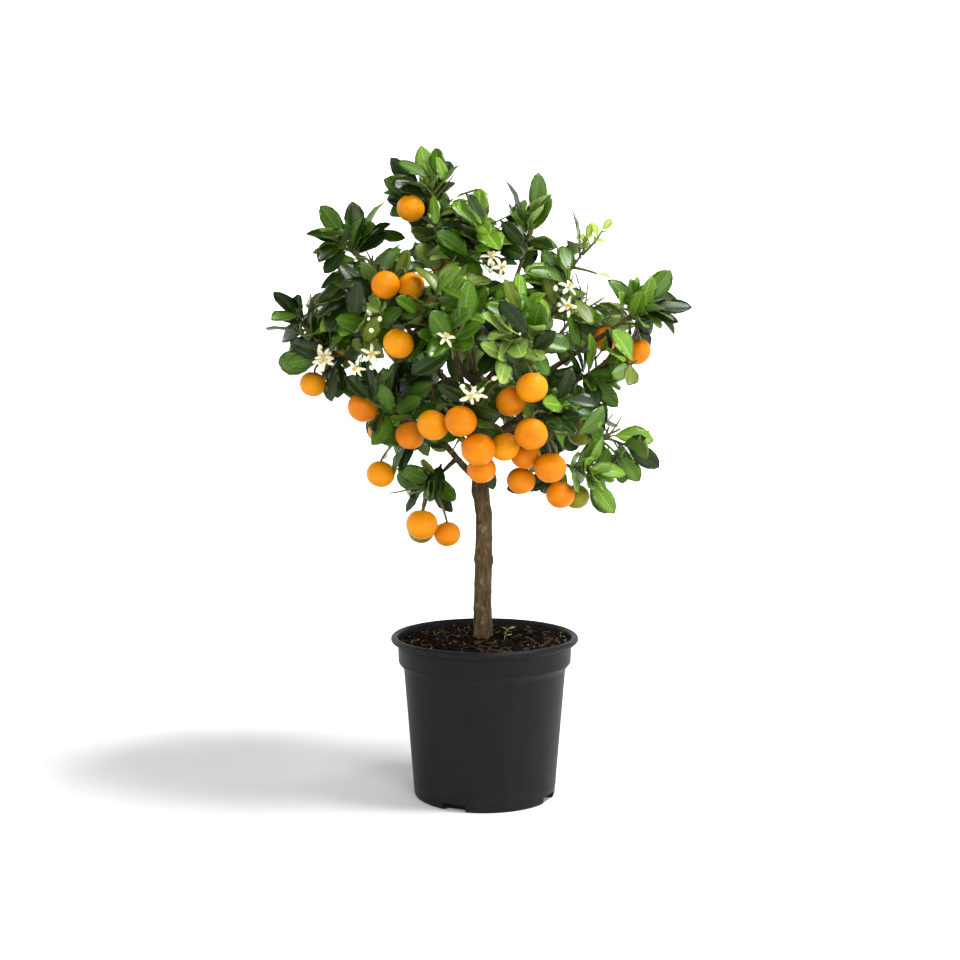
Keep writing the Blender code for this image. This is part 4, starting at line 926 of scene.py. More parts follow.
def leaderTo(mass, leafTip):
    # A twig that ends a leaf's length short of the place where its last leaf's tip is
    leafTip = np.array(leafTip)
    start = footOnStem(mass, leafTip)
    back = unit(leafTip - start) * twig["sourceLeaf"] * twig["leaderLeaf"]
    grown = twigTo(mass, leafTip - back, twig["leaderRise"])
    grown.tip = leafTip
    return grown


def growShoots(clusters, around):
    # The table's own shoots, each from the stem of the mass whose space its tip is in
    for tip, tone, length, count in shoots:
        power = ((massCentres - tip) ** 2).sum(-1) - massRadii ** 2
        mass = clusters[int(power.argmin())]
        start = footOnStem(mass, np.array(tip))
        grown = twigTo(mass, tip - unit(tip - start) * length, twig["leaderRise"])
        starts, ends = grown.points[:-1].copy(), grown.points[1:]
        starts[0] = starts[0] + unit(ends[0] - starts[0]) * twig["shootFree"]
        wood = around.woodGap(starts, ends, lambda owner, other: owner == "limbs")
        if wood < 0 or around.ballGap(starts, ends) < 0:
            print("shoot left out:", mass.name, tip)
            continue
        grown.tone, grown.length, grown.count, grown.tip = tone, length, count, np.array(tip)
        grown.leafy = True
        mass.shoots.append(grown)
        around.add(mass.name, grown)


def addHiddenFruits(mass, count, around):
    # Fruits on the sides that the front doesn't show: low and outside in their mass
    level = unit(mass.outward * (1, 1, 0))
    side = np.array((-level[1], level[0], 0))
    for _ in range(count * hidden["tries"]):
        if len(mass.fruits) == count:
            return
        turn = mass.random.uniform(-hidden["turn"], hidden["turn"])
        drop = up * mass.random.uniform(*hidden["drop"])
        direction = unit(level * math.cos(turn) + side * math.sin(turn) - drop)
        size = fruit["radius"] * mass.random.uniform(*hidden["size"])
        centre = mass.centre + direction * mass.radius * mass.random.uniform(*hidden["depth"])
        near = min(np.linalg.norm(np.array(ball[:3]) - centre) - ball[3] for ball in around.balls)
        if near < size + hidden["gap"] or not inCell(mass.name, centre, size + hidden["gap"]):
            continue
        here = centre[None]
        wood = around.woodGap(here, here + up * 1e-5, lambda owner, grown: owner == "limbs")
        if wood >= size + 2 * hidden["gap"]:
            mass.fruits.append((*centre, size))
            around.balls.append(mass.fruits[-1])


def stalkFor(mass, ball):
    # The fruiting twig: from the stem to a crook above the fruit, then down into it
    centre, size = np.array(ball[:3]), ball[3]
    start = footOnStem(mass, centre + up * size)
    hang = unit(up + unit(start - centre) * fruit["stalkLean"])
    crook, end = centre + hang * (size + fruit["crook"]), centre + hang * size * fruit["stalkEnd"]
    radii = twig["radius"] * np.array(fruit["stalkTaper"])
    stalk = limb(mass.name, [start, crook, end], radii, [start, 2 * crook - (start + end) / 2, end])
    stalk.hang = hang
    return stalk


def growFillers(mass, count, around):
    # Twigs from the stem to points spread evenly round the mass, kept short of its neighbours
    phase = mass.random.uniform(0, 2 * math.pi)
    leafLength = twig["sourceLeaf"] * twig["fillReach"]
    grown = []
    for number in range(count):
        z = 1 - 2 * (number + 0.5) / count
        ring, angle = math.sqrt(1 - z * z), golden * number + phase
        direction = np.array((ring * math.cos(angle), ring * math.sin(angle), z))
        reach = mass.radius * mass.random.uniform(*twig["fillDepth"])
        reach = min(reach, mass.radius * twig["massReach"] - leafLength)
        least = twig["fillLeast"] * mass.radius
        while reach > least and not inCell(mass.name, mass.centre + direction * (reach + leafLength)):
            reach -= twig["fillStep"]
        filler = twigTo(mass, mass.centre + direction * reach, twig["fillRise"])
        behind = direction.dot(mass.stemDirection) < twig["fillBehind"]
        if behind or not inCell(mass.name, filler.points, twig["fillMargin"]):
            continue
        room = twig["radius"] + twig["clearance"]
        starts, ends = filler.points[:-1], filler.points[1:]
        others = around.woodGap(starts, ends, lambda owner, grown: owner != mass.name)
        if others >= room and around.ballGap(starts, ends) >= room:
            grown.append(filler)
    for filler in grown:
        mass.fillers.append(filler)
        around.add(mass.name, filler)


def growSides(mass, carrier, shares, around):
    # Finer twigs off a twig, turned round it by the golden angle, where there is room for them
    turn = mass.finer.uniform(0, 2 * math.pi)
    for share in shares:
        start, _, along = carrier.at(share)
        turn += golden
        side, other = crossAxes(along)
        length = mass.finer.uniform(*twig["sideLength"])
        for attempt in range(twig["sideTries"]):
            swing = turn + attempt * math.radians(twig["swing"])
            radial = side * math.cos(swing) + other * math.sin(swing)
            onward, outward, upward, away = twig["sideMix"]
            direction = unit(along * onward + radial * outward + up * upward + mass.outward * away)
            tip = start + direction * length + up * length * twig["sideLift"]
            bend = start + direction * length * twig["sideBend"]
            points = bezier([start, bend, tip], np.linspace(0, 1, 3))
            if not inCell(mass.name, np.array((points[1], tip, tip + direction * twig["sideLeafRoom"])), 0.0):
                continue
            starts, ends = points[:-1].copy(), points[1:]
            starts[0] = start + direction * twig["sideFree"]
            room = twig["sideRadius"] + twig["sideGap"]
            clear = around.woodGap(starts, ends, lambda owner, grown: grown is not carrier)
            if clear >= room and around.ballGap(starts, ends) >= room:
                radii = twig["sideRadius"] * np.array(twig["sideTaper"])
                grown = limb(mass.name, points, radii, [start, bend, tip])
                grown.parent = carrier
                mass.sides.append(grown)
                around.add(mass.name, grown)
                break


def growWood(limbs, around):
    # Stems, leading shoots and fruiting twigs, then fill twigs, then the finer side twigs
    clusters = [cluster(name, number) for number, name in enumerate(massNames)]
    for mass in clusters:
        growStem(mass, limbs)
        mass.fruits = list(fruits.get(mass.name, ()))
        addHiddenFruits(mass, len(mass.fruits) + masses[mass.name][3], around)
        around.add(mass.name, mass.stem)
    for mass in clusters:
        mass.leaders = [leaderTo(mass, tip) for tip in leaders.get(mass.name, ())]
        mass.stalks = [stalkFor(mass, ball) for ball in mass.fruits]
        for grown in mass.leaders + mass.stalks:
            around.add(mass.name, grown)
    growShoots(clusters, around)
    for mass in clusters:
        growFillers(mass, masses[mass.name][2], around)
    reserved = []   # room for the leaf at the tip of each shoot, which side twigs keep clear of
    for mass in clusters:
        for carrier in mass.leaders + mass.shoots:
            root = carrier.points[-1]
            away = carrier.tip - root
            spots = [root + away * 0.15, root + away * 0.5, carrier.tip]
            reserved.append(limb(mass.name, spots, leaf["reserve"]))
            around.add(mass.name, reserved[-1])
    for mass in clusters:
        growSides(mass, mass.stem, twig["stemShares"], around)
        for grown in mass.leaders + mass.fillers:
            growSides(mass, grown, twig["sideShares"], around)
    around.drop(reserved)
    return clusters


def toneOf(mass, spot):
    # A spray's tone: the fresh patch that it is in, or else a seeded draw by share
    for place, size, tone in freshSpots:
        if np.linalg.norm(spot - np.array(place)) < size:
            return tone
    draw = mass.finer.uniform(0, 1)
    for tone, share in toneShares:
        draw -= share
        if draw <= 0:
            return tone
    return toneShares[0][0]


def leafFree(mass, carrier, corners, limit, around, slack):
    # True where the blade's coarse outline stays in its space and crosses no wood, fruit or leaf. It is then
    # kept, for later leaves to clear.
    root, left, right, tip, top = corners
    far = np.array((left, right, tip))
    if not inCell(mass.name, far, leaf["spill"] - slack):
        return False
    if (far < crownLow).any() or (far > crownHigh).any():
        return False
    if np.linalg.norm(far - mass.centre, axis=1).max() > limit:
        return False
    start = root + (tip - root) * leaf["bareStalk"]
    starts = np.array((start, top, start, left, start, right, left))
    ends = np.array((top, tip, left, tip, right, tip, right))
    if around.ballGap(starts, ends) < leaf["clear"] or around.openGap(starts, ends) < -slack:
        return False
    if around.woodGap(starts, ends, lambda owner, grown: grown is not carrier) < leaf["clear"]:
        return False
    centre = (left + right + tip + root) / 4
    outline = (start, left, right, tip, top)   # drawn a little larger, so that leaves keep some room
    grown = [Vector(corner + unit(corner - centre) * leaf["room"]) for corner in outline]
    tree = BVHTree.FromPolygons(grown, ((0, 2, 4), (2, 3, 4), (3, 1, 4), (1, 0, 4)))
    count = len(around.leaves)
    near = np.flatnonzero(np.linalg.norm(around.leafCentres[:count] - centre, axis=1) < leaf["near"])
    if any(tree.overlap(around.leaves[i]) for i in near):
        return False
    around.leafCentres[count] = centre
    around.leaves.append(tree)
    return True


def growLeaves(mass, carrier, count, around, first, end, grown, limit, only=None):
    # Leaves in a golden spiral down a twig from its tip, upright at its tip and spreading at its foot, each
    # swung round the twig until it is free
    tone = carrier.tone or toneOf(mass, carrier.points[-1])
    scale = carrier.length / leaf["leaderLength"] if carrier.tone else 1.0
    turn = mass.finer.uniform(0, 2 * math.pi)
    onAlong, onUp, onLit = leaf["look"]
    for k in only or reversed(range(count)):
        share = first + (end - first) * k / max(count - 1, 1)
        turn += golden
        last = k == count - 1 and end > 0.95
        aimed = last and carrier.tip is not None
        length = mass.finer.uniform(*leaf["length"]) * scale
        if aimed:
            length = leaf["leaderLength"] * scale
        width = length * mass.finer.uniform(*leaf["widthShare"])
        fold, droop = mass.finer.uniform(*leaf["fold"]), mass.finer.uniform(*leaf["droop"])
        phase, twist = mass.finer.uniform(0, 6.28), mass.finer.uniform(-leaf["twist"], leaf["twist"])
        roll = math.radians(mass.finer.gauss(0, leaf["roll"]))
        root, _, along = carrier.at(share)
        side, other = crossAxes(along)
        lean = math.radians(leaf["angleFoot"] + (leaf["angleTip"] - leaf["angleFoot"]) * share)
        for attempt in range(leaf["tries"]):
            swing = turn + attempt * math.radians(leaf["swing"])
            radial = side * math.cos(swing) + other * math.sin(swing)
            direction = unit(along * math.cos(lean) + radial * math.sin(lean) + up * leaf["lift"])
            if last:
                direction = unit(along + radial * leaf["tipLean"])
            if aimed:
                direction = unit(carrier.tip - root + radial * length * leaf["aimSwing"] * attempt)
            look = along * onAlong + up * onUp + mass.lit * onLit
            facing = unit(look - direction * look.dot(direction))
            across = unit(np.cross(facing, direction))
            facing, across = (facing * math.cos(roll) + across * math.sin(roll),
                              across * math.cos(roll) - facing * math.sin(roll))
            middle = root + direction * length * leaf["widest"]
            raised = facing * width / 2 * fold
            tip = root + direction * length - facing * length * droop
            aside = across * width / 2
            corners = (root, middle + aside + raised, middle - aside + raised, tip, middle)
            if leafFree(mass, carrier, corners, limit, around, leaf["aimedSlack"] if aimed else 0.0):
                carrier.leafy = True
                if carrier.parent:
                    carrier.parent.leafy = True
                grown.append((tone, root, direction, facing, length, width, (fold, droop, phase, twist)))
                break


def growAllLeaves(clusters, around):
    # Leaves at the shoots' tips, down the shoots, on fruiting twigs, then wherever there is room
    grown = []
    for group in ("last", "others"):   # the leaf at each tip comes before all others
        for mass in clusters:
            for carrier in mass.leaders + mass.shoots:
                own = np.linalg.norm(carrier.tip - mass.centre) + leaf["leaderSlack"]
                count, first = leaf["leaderLeaves"], leaf["firstLeader"]
                if carrier.tone:
                    count, first = carrier.count, leaf["firstShoot"]
                only, limit = (count - 1,), own + leaf["aimedSlack"]
                if group == "others":
                    only, limit = tuple(range(count - 1)), max(own, mass.radius * leaf["reach"])
                growLeaves(mass, carrier, count, around, first, 1.0, grown, limit, only)
    for mass in clusters:
        limit = mass.radius * leaf["reach"]
        for carrier in mass.stalks:
            growLeaves(mass, carrier, 3, around, 0.15, 0.60, grown, limit)
    for mass in clusters:
        limit = mass.radius * leaf["reach"]
        for carrier in mass.fillers + mass.sides:
            span = np.linalg.norm(carrier.points[-1] - carrier.points[0])
            count = max(3, int(span / leaf["spacing"]) + 1)
            growLeaves(mass, carrier, count, around, 0.25, 1.0, grown, limit)
        growLeaves(mass, mass.stem, leaf["stemLeaves"], around, 0.25, 1.0, grown, limit)
    return grown


limbs = growLimbs()
around = thicket(limbs)
clusters = growWood(limbs, around)
print("wood grown:", sum(len(m.leaders + m.stalks + m.fillers) for m in clusters), "twigs,",
      sum(len(m.sides) for m in clusters), "finer twigs")


# The leaves, a piece for each tone

def leafOutline(u):
    # Half width share: a narrow stalk, then a long oval, the sine of the row share bent towards the tip
    blade = np.clip((u - 0.09) / 0.91, 0, 1)
    return leaf["petiole"] + (1 - leaf["petiole"]) * np.sin(math.pi * blade ** 1.06) ** 0.66


def buildLeaves():
    # One piece for each tone, with the columns of its leaves' rows handed on as arrays
    grown = growAllLeaves(clusters, around)
    form = {**leaf, "outline": leafOutline}
    made = []
    for tone in tones:
        mine = [row for row in grown if row[0] == tone]
        if not mine:
            continue
        columns = [np.array([row[i] for row in mine]) for i in range(1, 7)]
        points, faces, slots, chart = blades(*columns, form)
        made.append(piece("leaves_" + tone, points, faces, leafFinishes(tone), "foliage", slots, chart))
        print("leaves", tone, len(mine))
    return made


leafPieces = buildLeaves()
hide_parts(*["foliage_" + name for name in massNames])


# The wood: trunk and boughs in bark, young twigs in green

def barkRelief(points, depth, seed):
    # Ridges drawn out along the limb: noise whose height is squeezed, in two sizes
    squeezed = points * (1, 1, 0.22)
    return depth * (ripple(squeezed, 0.0045, seed) * 0.65 + ripple(squeezed, 0.0020, seed + 1) * 0.35)


def grainSpots(angle, radius, along):
    # Points round an upright limb of one radius, where the bark's noise is read
    return np.stack((np.cos(angle) * radius + 0 * along, np.sin(angle) * radius + 0 * along, along), axis=-1)


def buildTrunk(material):
    # The source's radii on a finer grid, plus bark, plus a bell and a small pit for each knot
    foot, tip = trunk["axis"][0][0], trunk["axis"][-1][0]
    heights = np.linspace(foot - trunk["sinks"], tip, trunk["drawnRings"])
    angle = circle(trunk["sides"])
    skin = trunkRadii(np.maximum(heights, foot))[:, None] + 0 * angle
    spots = grainSpots(angle, trunk["grainRadius"], heights[:, None] + 0 * skin)
    skin = skin + barkRelief(spots, trunk["ridge"], 3)
    for height, turn, size in trunk["knots"]:
        turned = np.angle(np.exp(1j * (angle - math.radians(turn)))) * trunk["knotRound"]
        far = np.hypot(turned[None, :], (heights[:, None] - height) * trunk["knotFlat"])
        skin = skin + size * np.exp(-(far / trunk["knotReach"]) ** 2)
        skin = skin - size * 0.8 * np.exp(-(far / trunk["knotPit"]) ** 2)
    points, faces = tubes(trunkPoints(heights)[None], skin[None], trunk["sides"], (1.0, 0.0, 0.0))
    made = piece("trunk_bark", points, faces, [material], "bark")
    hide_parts("trunk")


def buildBoughs(material):
    # Each bough's curve with its straight taper, a collar at its foot, and bark
    shares, names = np.linspace(0, 1, bough["rings"]), list(boughs)
    paths = np.array([bezier(limbs[name].curve, shares) for name in names])
    radii = np.array([boughs[name][2] for name in names])[:, None] * (1 - (1 - bough["taper"]) * shares)
    radii = radii * (1 + bough["collar"] * np.exp(-(shares / bough["collarReach"]) ** 2))
    angle = circle(bough["sides"])
    apart = np.arange(len(names))[:, None, None] * bough["grainApart"]
    along = shares[:, None] * bough["grainLength"] + apart + 0 * angle
    spots = grainSpots(angle, bough["grainRadius"], along)
    skin = radii[..., None] + barkRelief(spots, bough["ridge"], 9)
    points, faces = tubes(paths, skin, bough["sides"])
    made = piece("bough_bark", points, faces, [material], "bark")
    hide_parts(*["bough_" + name for name in names])


twigKinds = {
    "twigs_green": {"first": (64, 88, 36), "second": (88, 104, 46), "sides": 6},
    "twigs_main": {"first": (74, 78, 44), "second": (98, 88, 56), "sides": 7},
}
twigLook = {
    "rings": 8, "collar": 0.25, "collarReach": 0.12, "stemRings": 16, "stemSides": 8, "stemSinks": 0.003,
}


def buildTwigs():
    # Every twig as a smooth tube through its curve: stems and main twigs browner, side twigs green
    shares = np.linspace(0, 1, twigLook["rings"])
    groups = {
        "twigs_green": [item for m in clusters for item in m.sides + m.shoots if item.leafy],
        "twigs_main": [item for m in clusters
                       for item in [grown for grown in m.leaders + m.fillers if grown.leafy] + m.stalks],
    }
    for name, kind in twigKinds.items():
        grown = groups[name]
        paths = np.array([bezier(item.curve, shares) for item in grown])
        evenly = [np.linspace(0, 1, len(item.radii)) for item in grown]
        radii = np.array([np.interp(shares, knees, item.radii) for knees, item in zip(evenly, grown)])
        radii = radii * (1 + twigLook["collar"] * np.exp(-(shares / twigLook["collarReach"]) ** 2))
        points, faces = tubes(paths, radii, kind["sides"])
        finishName = name.replace("twigs_", "twig")
        material = plainFinish(finishName, kind["first"], kind["second"], 0.004, 0.55, 0.00015, (1, 1, 0.3))
        piece(name, points, faces, [material], "foliage")
    shares = np.linspace(0, 1, twigLook["stemRings"])
    feet = [mass.stemFoot - mass.stemDirection * twigLook["stemSinks"] for mass in clusters]
    paths = np.array([bezier([foot, *mass.stem.points], shares) for foot, mass in zip(feet, clusters)])
    radii = np.array([np.interp(shares, (0, 0.3, 0.65, 1), mass.stem.radii) for mass in clusters])
    points, faces = tubes(paths, radii, twigLook["stemSides"])
    material = plainFinish("stemBark", (78, 66, 42), (112, 98, 70), 0.003, 0.7, 0.0003, (1, 1, 0.3))
    piece("stems", points, faces, [material], "bark")


bark = barkFinish()
buildTrunk(bark)
buildBoughs(bark)
buildTwigs()
print("wood built")


# The fruits, in three ripenesses, each with its green calyx

def bell(distance, reach):
    # One at the middle, dying away with the square of the distance
    return np.exp(-(distance / reach) ** 2)


def fruitShape(polar, turn):
    # A flattened ball: wide and high are sine and cosine, sunk by a bell at the stalk and at a small navel
    sunk = fruit["dimple"] * bell(polar, fruit["dimpleReach"]) + fruit["navel"] * bell(
        math.pi - polar, fruit["navelReach"])
    furrow = fruit["furrow"] * np.cos(turn * 5) * bell(polar, fruit["furrowReach"]) * np.sin(polar)
    return np.sin(polar) * (1 + furrow) + 0 * turn, np.cos(polar) * (fruit["flatness"] - sunk) + 0 * turn


def calyxShape(polar, turn):
    # A five-pointed green star, thick in the middle and thin at its points
    star = 1 - fruit["calyxPoint"] + fruit["calyxPoint"] * np.cos(turn * 5)
    return np.sin(polar) * star, np.cos(polar) * fruit["calyxThick"] + 0 * turn


# Peel colours for each ripeness: two that mix, and the darker one of pores and patches
peels = {
    "ripe": ((208, 126, 2), (200, 108, 1), (166, 76, 1)),
    "golden": ((214, 140, 3), (206, 124, 2), (176, 90, 1)),
    "green": ((142, 130, 26), (104, 112, 26), (78, 84, 16)),
}


def buildFruits():
    # A ball for each fruit, turned to hang from its stalk, and a star on its dimple
    rows = [(ball, stalk.hang) for m in clusters for ball, stalk in zip(m.fruits, m.stalks)]
    centres, axes = np.array([ball[:3] for ball, _ in rows]), np.array([hang for _, hang in rows])
    radii = np.array([ball[3] for ball, _ in rows]) * fruit["plump"]
    gaps = np.linalg.norm(centres[:, None] - np.array(greenFruits), axis=-1).min(axis=1)
    draw = random.Random(fruit["seed"])
    kinds = ["green" if gap < fruit["sameSpot"] else draw.choice(("ripe", "ripe", "golden")) for gap in gaps]
    names = list(peels)
    finishes = [fruitFinish("peel" + name.capitalize(), *peels[name]) for name in names]
    points, faces = balls(centres, axes, radii, fruit["rings"], fruit["sides"], fruitShape)
    slots = shellSlots([names.index(kind) for kind in kinds], fruit["rings"] - 1, fruit["sides"])
    piece("fruits", points, faces, finishes, "foliage", slots)
    depths = radii * (fruit["flatness"] - fruit["dimple"])
    seats = centres + axes * depths[:, None] + axes * fruit["calyxLift"]
    points, faces = balls(seats, axes, np.full(len(seats), fruit["calyxRadius"]), 6, 20, calyxShape)
    calyx = plainFinish("calyx", (104, 116, 48), (70, 84, 32), 0.002, 0.6, 0.0002)
    piece("calyxes", points, faces, [calyx], "foliage")
    print("fruits", len(seats), {kind: kinds.count(kind) for kind in names})


buildFruits()


# Blossoms: five strap petals that curl back, a ring of stamens round one knob, and buds

def petalOutline(u):
    # Half width share: a sine that starts wide, less a straight cut near the tip
    bow = np.sin(math.pi * np.clip(u * 0.82 + 0.10, 0, 1)) ** 0.8
    return 0.30 + 0.70 * bow - 0.55 * np.clip(u - 0.8, 0, 1)


def nearestWood(point):
    # The twig place nearest to a point, for a flower stalk to grow from
    twigs = [grown for m in clusters for grown in m.sides + m.fillers + m.leaders + [m.stem]]
    spots = [grown.at(share)[0] for grown in twigs for share in (0.4, 0.6, 0.8, 1.0)]
    return min(spots, key=lambda spot: np.linalg.norm(spot - point))


def placeBlossoms(draw):
    # Each flower's and each bud's place and look, and the three corners of its stalk
    heads, buds, stalks = [], [], []
    for place, look, flowers, budCount in blossoms:
        place, look = np.array(place), unit(np.array(look))
        foot = nearestWood(place)
        for number in range(flowers + budCount):
            spread = np.array([draw.uniform(-1, 1) for _ in range(3)]) * flower["spread"]
            spot, facing = place + spread * (1, 0.7, 1), unit(look + spread * flower["splay"])
            stalks.append([foot, foot + (spot - foot) * 0.5 + up * flower["stalkBow"], spot - facing * 0.001])
            (heads if number < flowers else buds).append((spot, facing))
    return heads, buds, stalks


def buildPetals(spots, facings, side, other, draw):
    # Five straps round each flower's middle, an even turn apart, each leaning forwards by its own share
    rows = []
    for spot, facing, right, above in zip(spots, facings, side, other):
        first = draw.uniform(0, 6.28)
        for k in range(flower["petals"]):
            angle = first + k * 2 * math.pi / flower["petals"]
            radial = right * math.cos(angle) + above * math.sin(angle)
            outward = unit(radial + facing * draw.uniform(0.1, 0.5))
            face = unit(facing - outward * facing.dot(outward))
            length = flower["petalLength"] * draw.uniform(0.85, 1.1)
            bend = (flower["petalFold"], draw.uniform(0.15, 0.5), draw.uniform(0, 6), draw.uniform(-0.5, 0.5))
            rows.append((spot + radial * 0.0006, outward, face, length, bend))
    roots, along, face, length, bend = (np.array([row[i] for row in rows]) for i in range(5))
    form = {"rows": flower["petalRows"], "columns": flower["petalColumns"], "wave": flower["petalWave"],
            "thick": flower["petalThick"], "outline": petalOutline}
    width = length * flower["petalWidth"] / flower["petalLength"]
    points, faces, _, chart = blades(roots, along, face, length, width, bend, form)
    petal = plainFinish("petal", (236, 230, 200), (220, 216, 176), 0.003, 0.45, 0.0002)
    piece("petals", points, faces, [petal], "foliage", None, chart)


def antherShape(polar, turn):
    # A ball drawn out to one and a half times its width
    return np.sin(polar) + 0 * turn, np.cos(polar) * 1.5 + 0 * turn


def budShape(polar, turn):
    # A drop: the sine, narrowed towards the tip by a quarter of the cosine
    tall = flower["budLength"] / flower["budRadius"] / 2
    return np.sin(polar) * (1 - 0.25 * np.cos(polar)) + 0 * turn, np.cos(polar) * tall + 0 * turn


def buildBlossoms():
    # Petals, stamens with an anther each, a knob in the middle, buds, and the stalks that carry them
    draw = random.Random(flower["seed"])
    heads, buds, stalks = placeBlossoms(draw)
    spots, facings = (np.array([head[i] for head in heads]) for i in range(2))
    side, other = crossAxes(facings)
    buildPetals(spots, facings, side, other, draw)

    spokes = circle(flower["stamens"])
    radial = side[:, None] * np.cos(spokes)[:, None] + other[:, None] * np.sin(spokes)[:, None]
    foot = spots[:, None] + radial * flower["stamenFoot"]
    head = spots[:, None] + radial * flower["stamenTop"] + facings[:, None] * flower["stamenHeight"]
    shares = np.linspace(0, 1, 3)[:, None]
    paths = (foot[:, :, None] + (head - foot)[:, :, None] * shares).reshape(-1, 3, 3)
    points, faces = tubes(paths, np.full((len(paths), 3), flower["stamenRadius"]), 4, slant)
    filament = plainFinish("filament", (240, 238, 222), (226, 222, 196), 0.002, 0.5, 0.0001)
    piece("stamens", points, faces, [filament], "foliage")
    tips = np.concatenate((head.reshape(-1, 3), spots + facings * flower["knobHeight"]))
    axes = np.concatenate((np.repeat(facings, flower["stamens"], axis=0), facings))
    sizes = np.repeat((flower["anther"], flower["knob"]), (len(paths), len(spots)))
    points, faces = balls(tips, axes, sizes, 5, 6, antherShape)
    anther = plainFinish("anther", (226, 188, 80), (206, 170, 70), 0.001, 0.6, 0.0001)
    piece("anthers", points, faces, [anther], "foliage")

    spots, facings = (np.array([bud[i] for bud in buds]) for i in range(2))
    middles, sizes = spots + facings * flower["budLength"] / 2, np.full(len(buds), flower["budRadius"])
    points, faces = balls(middles, facings, sizes, 8, 10, budShape)
    bud = plainFinish("bud", (240, 236, 210), (214, 218, 168), 0.004, 0.45, 0.0001)
    piece("buds", points, faces, [bud], "foliage")
    paths = np.array([bezier(corners, np.linspace(0, 1, 7)) for corners in stalks])
    points, faces = tubes(paths, np.full(paths.shape[:2], flower["stalkRadius"]), 5, slant)
    stalk = plainFinish("flowerStalk", (104, 132, 56), (84, 112, 44), 0.003, 0.5, 0.0001)
    piece("flower_stalks", points, faces, [stalk], "foliage")
    print("blossoms", len(heads), "buds", len(buds))


buildBlossoms()


# The pot: one surface of angle and height, with its recesses pushed in

def arc(centre, radius, first, last, count):
    # Points round a centre, from one angle to another
    angles = np.radians(np.linspace(first, last, count))
    return [(centre[0] + radius * math.cos(a), centre[1] + radius * math.sin(a)) for a in angles]


def straight(first, last, count):
    # Points evenly along a line, without its first
    shares = np.linspace(0, 1, count + 1)[1:]
    return [(first[0] + (last[0] - first[0]) * s, first[1] + (last[1] - first[1]) * s) for s in shares]


def wallRadius(height):
    # The straight taper from the base to the neck
    return pot["baseRadius"] + (pot["neckRadius"] - pot["baseRadius"]) * height / pot["neckHeight"]


def potProfile():
    # The pot's section from the middle of its underside, up its outside, over the rim and down inside
    p = pot
    fillet = p["baseFillet"]
    h = p["recessHeight"]
    line = [(0.0, 0.0)] + straight((0.0, 0.0), (p["baseRadius"] - p["recessDepth"], 0.0), 2)
    line += straight(line[-1], (p["baseRadius"] - fillet, 0.0), 3)
    line += arc((p["baseRadius"] - fillet, fillet), fillet, -75, 0, 5)
    low, high, thin = p["drainLow"], p["drainHigh"], 0.0001
    rises = [low - thin, low, high, high + thin, h - thin, h, h + thin]
    line += [(wallRadius(z), z) for z in rises]
    foot = p["footLine"]
    line += [(wallRadius(foot - 0.0006), foot - 0.0006), (wallRadius(foot) + 0.00025, foot)]
    line += [(wallRadius(foot + 0.0006), foot + 0.0006)]
    neck, band = (p["neckRadius"], p["neckHeight"]), (p["bandRadius"], p["bandHeight"])
    line += straight(line[-1], (wallRadius(p["neckHeight"] - 0.0015), p["neckHeight"] - 0.0015), 10)
    line += [(neck[0] + 0.0002, neck[1])] + straight(neck, (band[0] - 0.0008, band[1] - 0.0006), 3)
    line += [(band[0] - 0.0002, band[1] - 0.0001), (band[0] + 0.0001, band[1] + 0.0010)]
    lip, bead = p["lipLine"], p["beadCentre"]
    top = (bead[0] - p["beadRadius"] * 0.9, lip)
    line += straight(line[-1], (band[0] + 0.0006, lip - 0.0030), 5)
    line += [(band[0] + 0.0012, lip - 0.0018), (band[0] + 0.0013, lip - 0.0010), (top[0] - 0.0001, lip)]
    line += arc(bead, p["beadRadius"], -100, 190, 22)
    inside = [(bead[0] - p["beadRadius"] - 0.0001, bead[1] - p["beadRadius"] * 0.6)]
    inside += [(band[0] - p["wall"], band[1]), (neck[0] - p["wall"], neck[1])]
    inside += [(p["baseRadius"] - p["recessDepth"] - p["wall"], p["floor"] + p["recessHeight"] + p["wall"])]
    inside += [(p["baseRadius"] - p["recessDepth"] - p["wall"] - 0.001, p["floor"]), (0.0, p["floor"])]
    return np.array(line + inside)


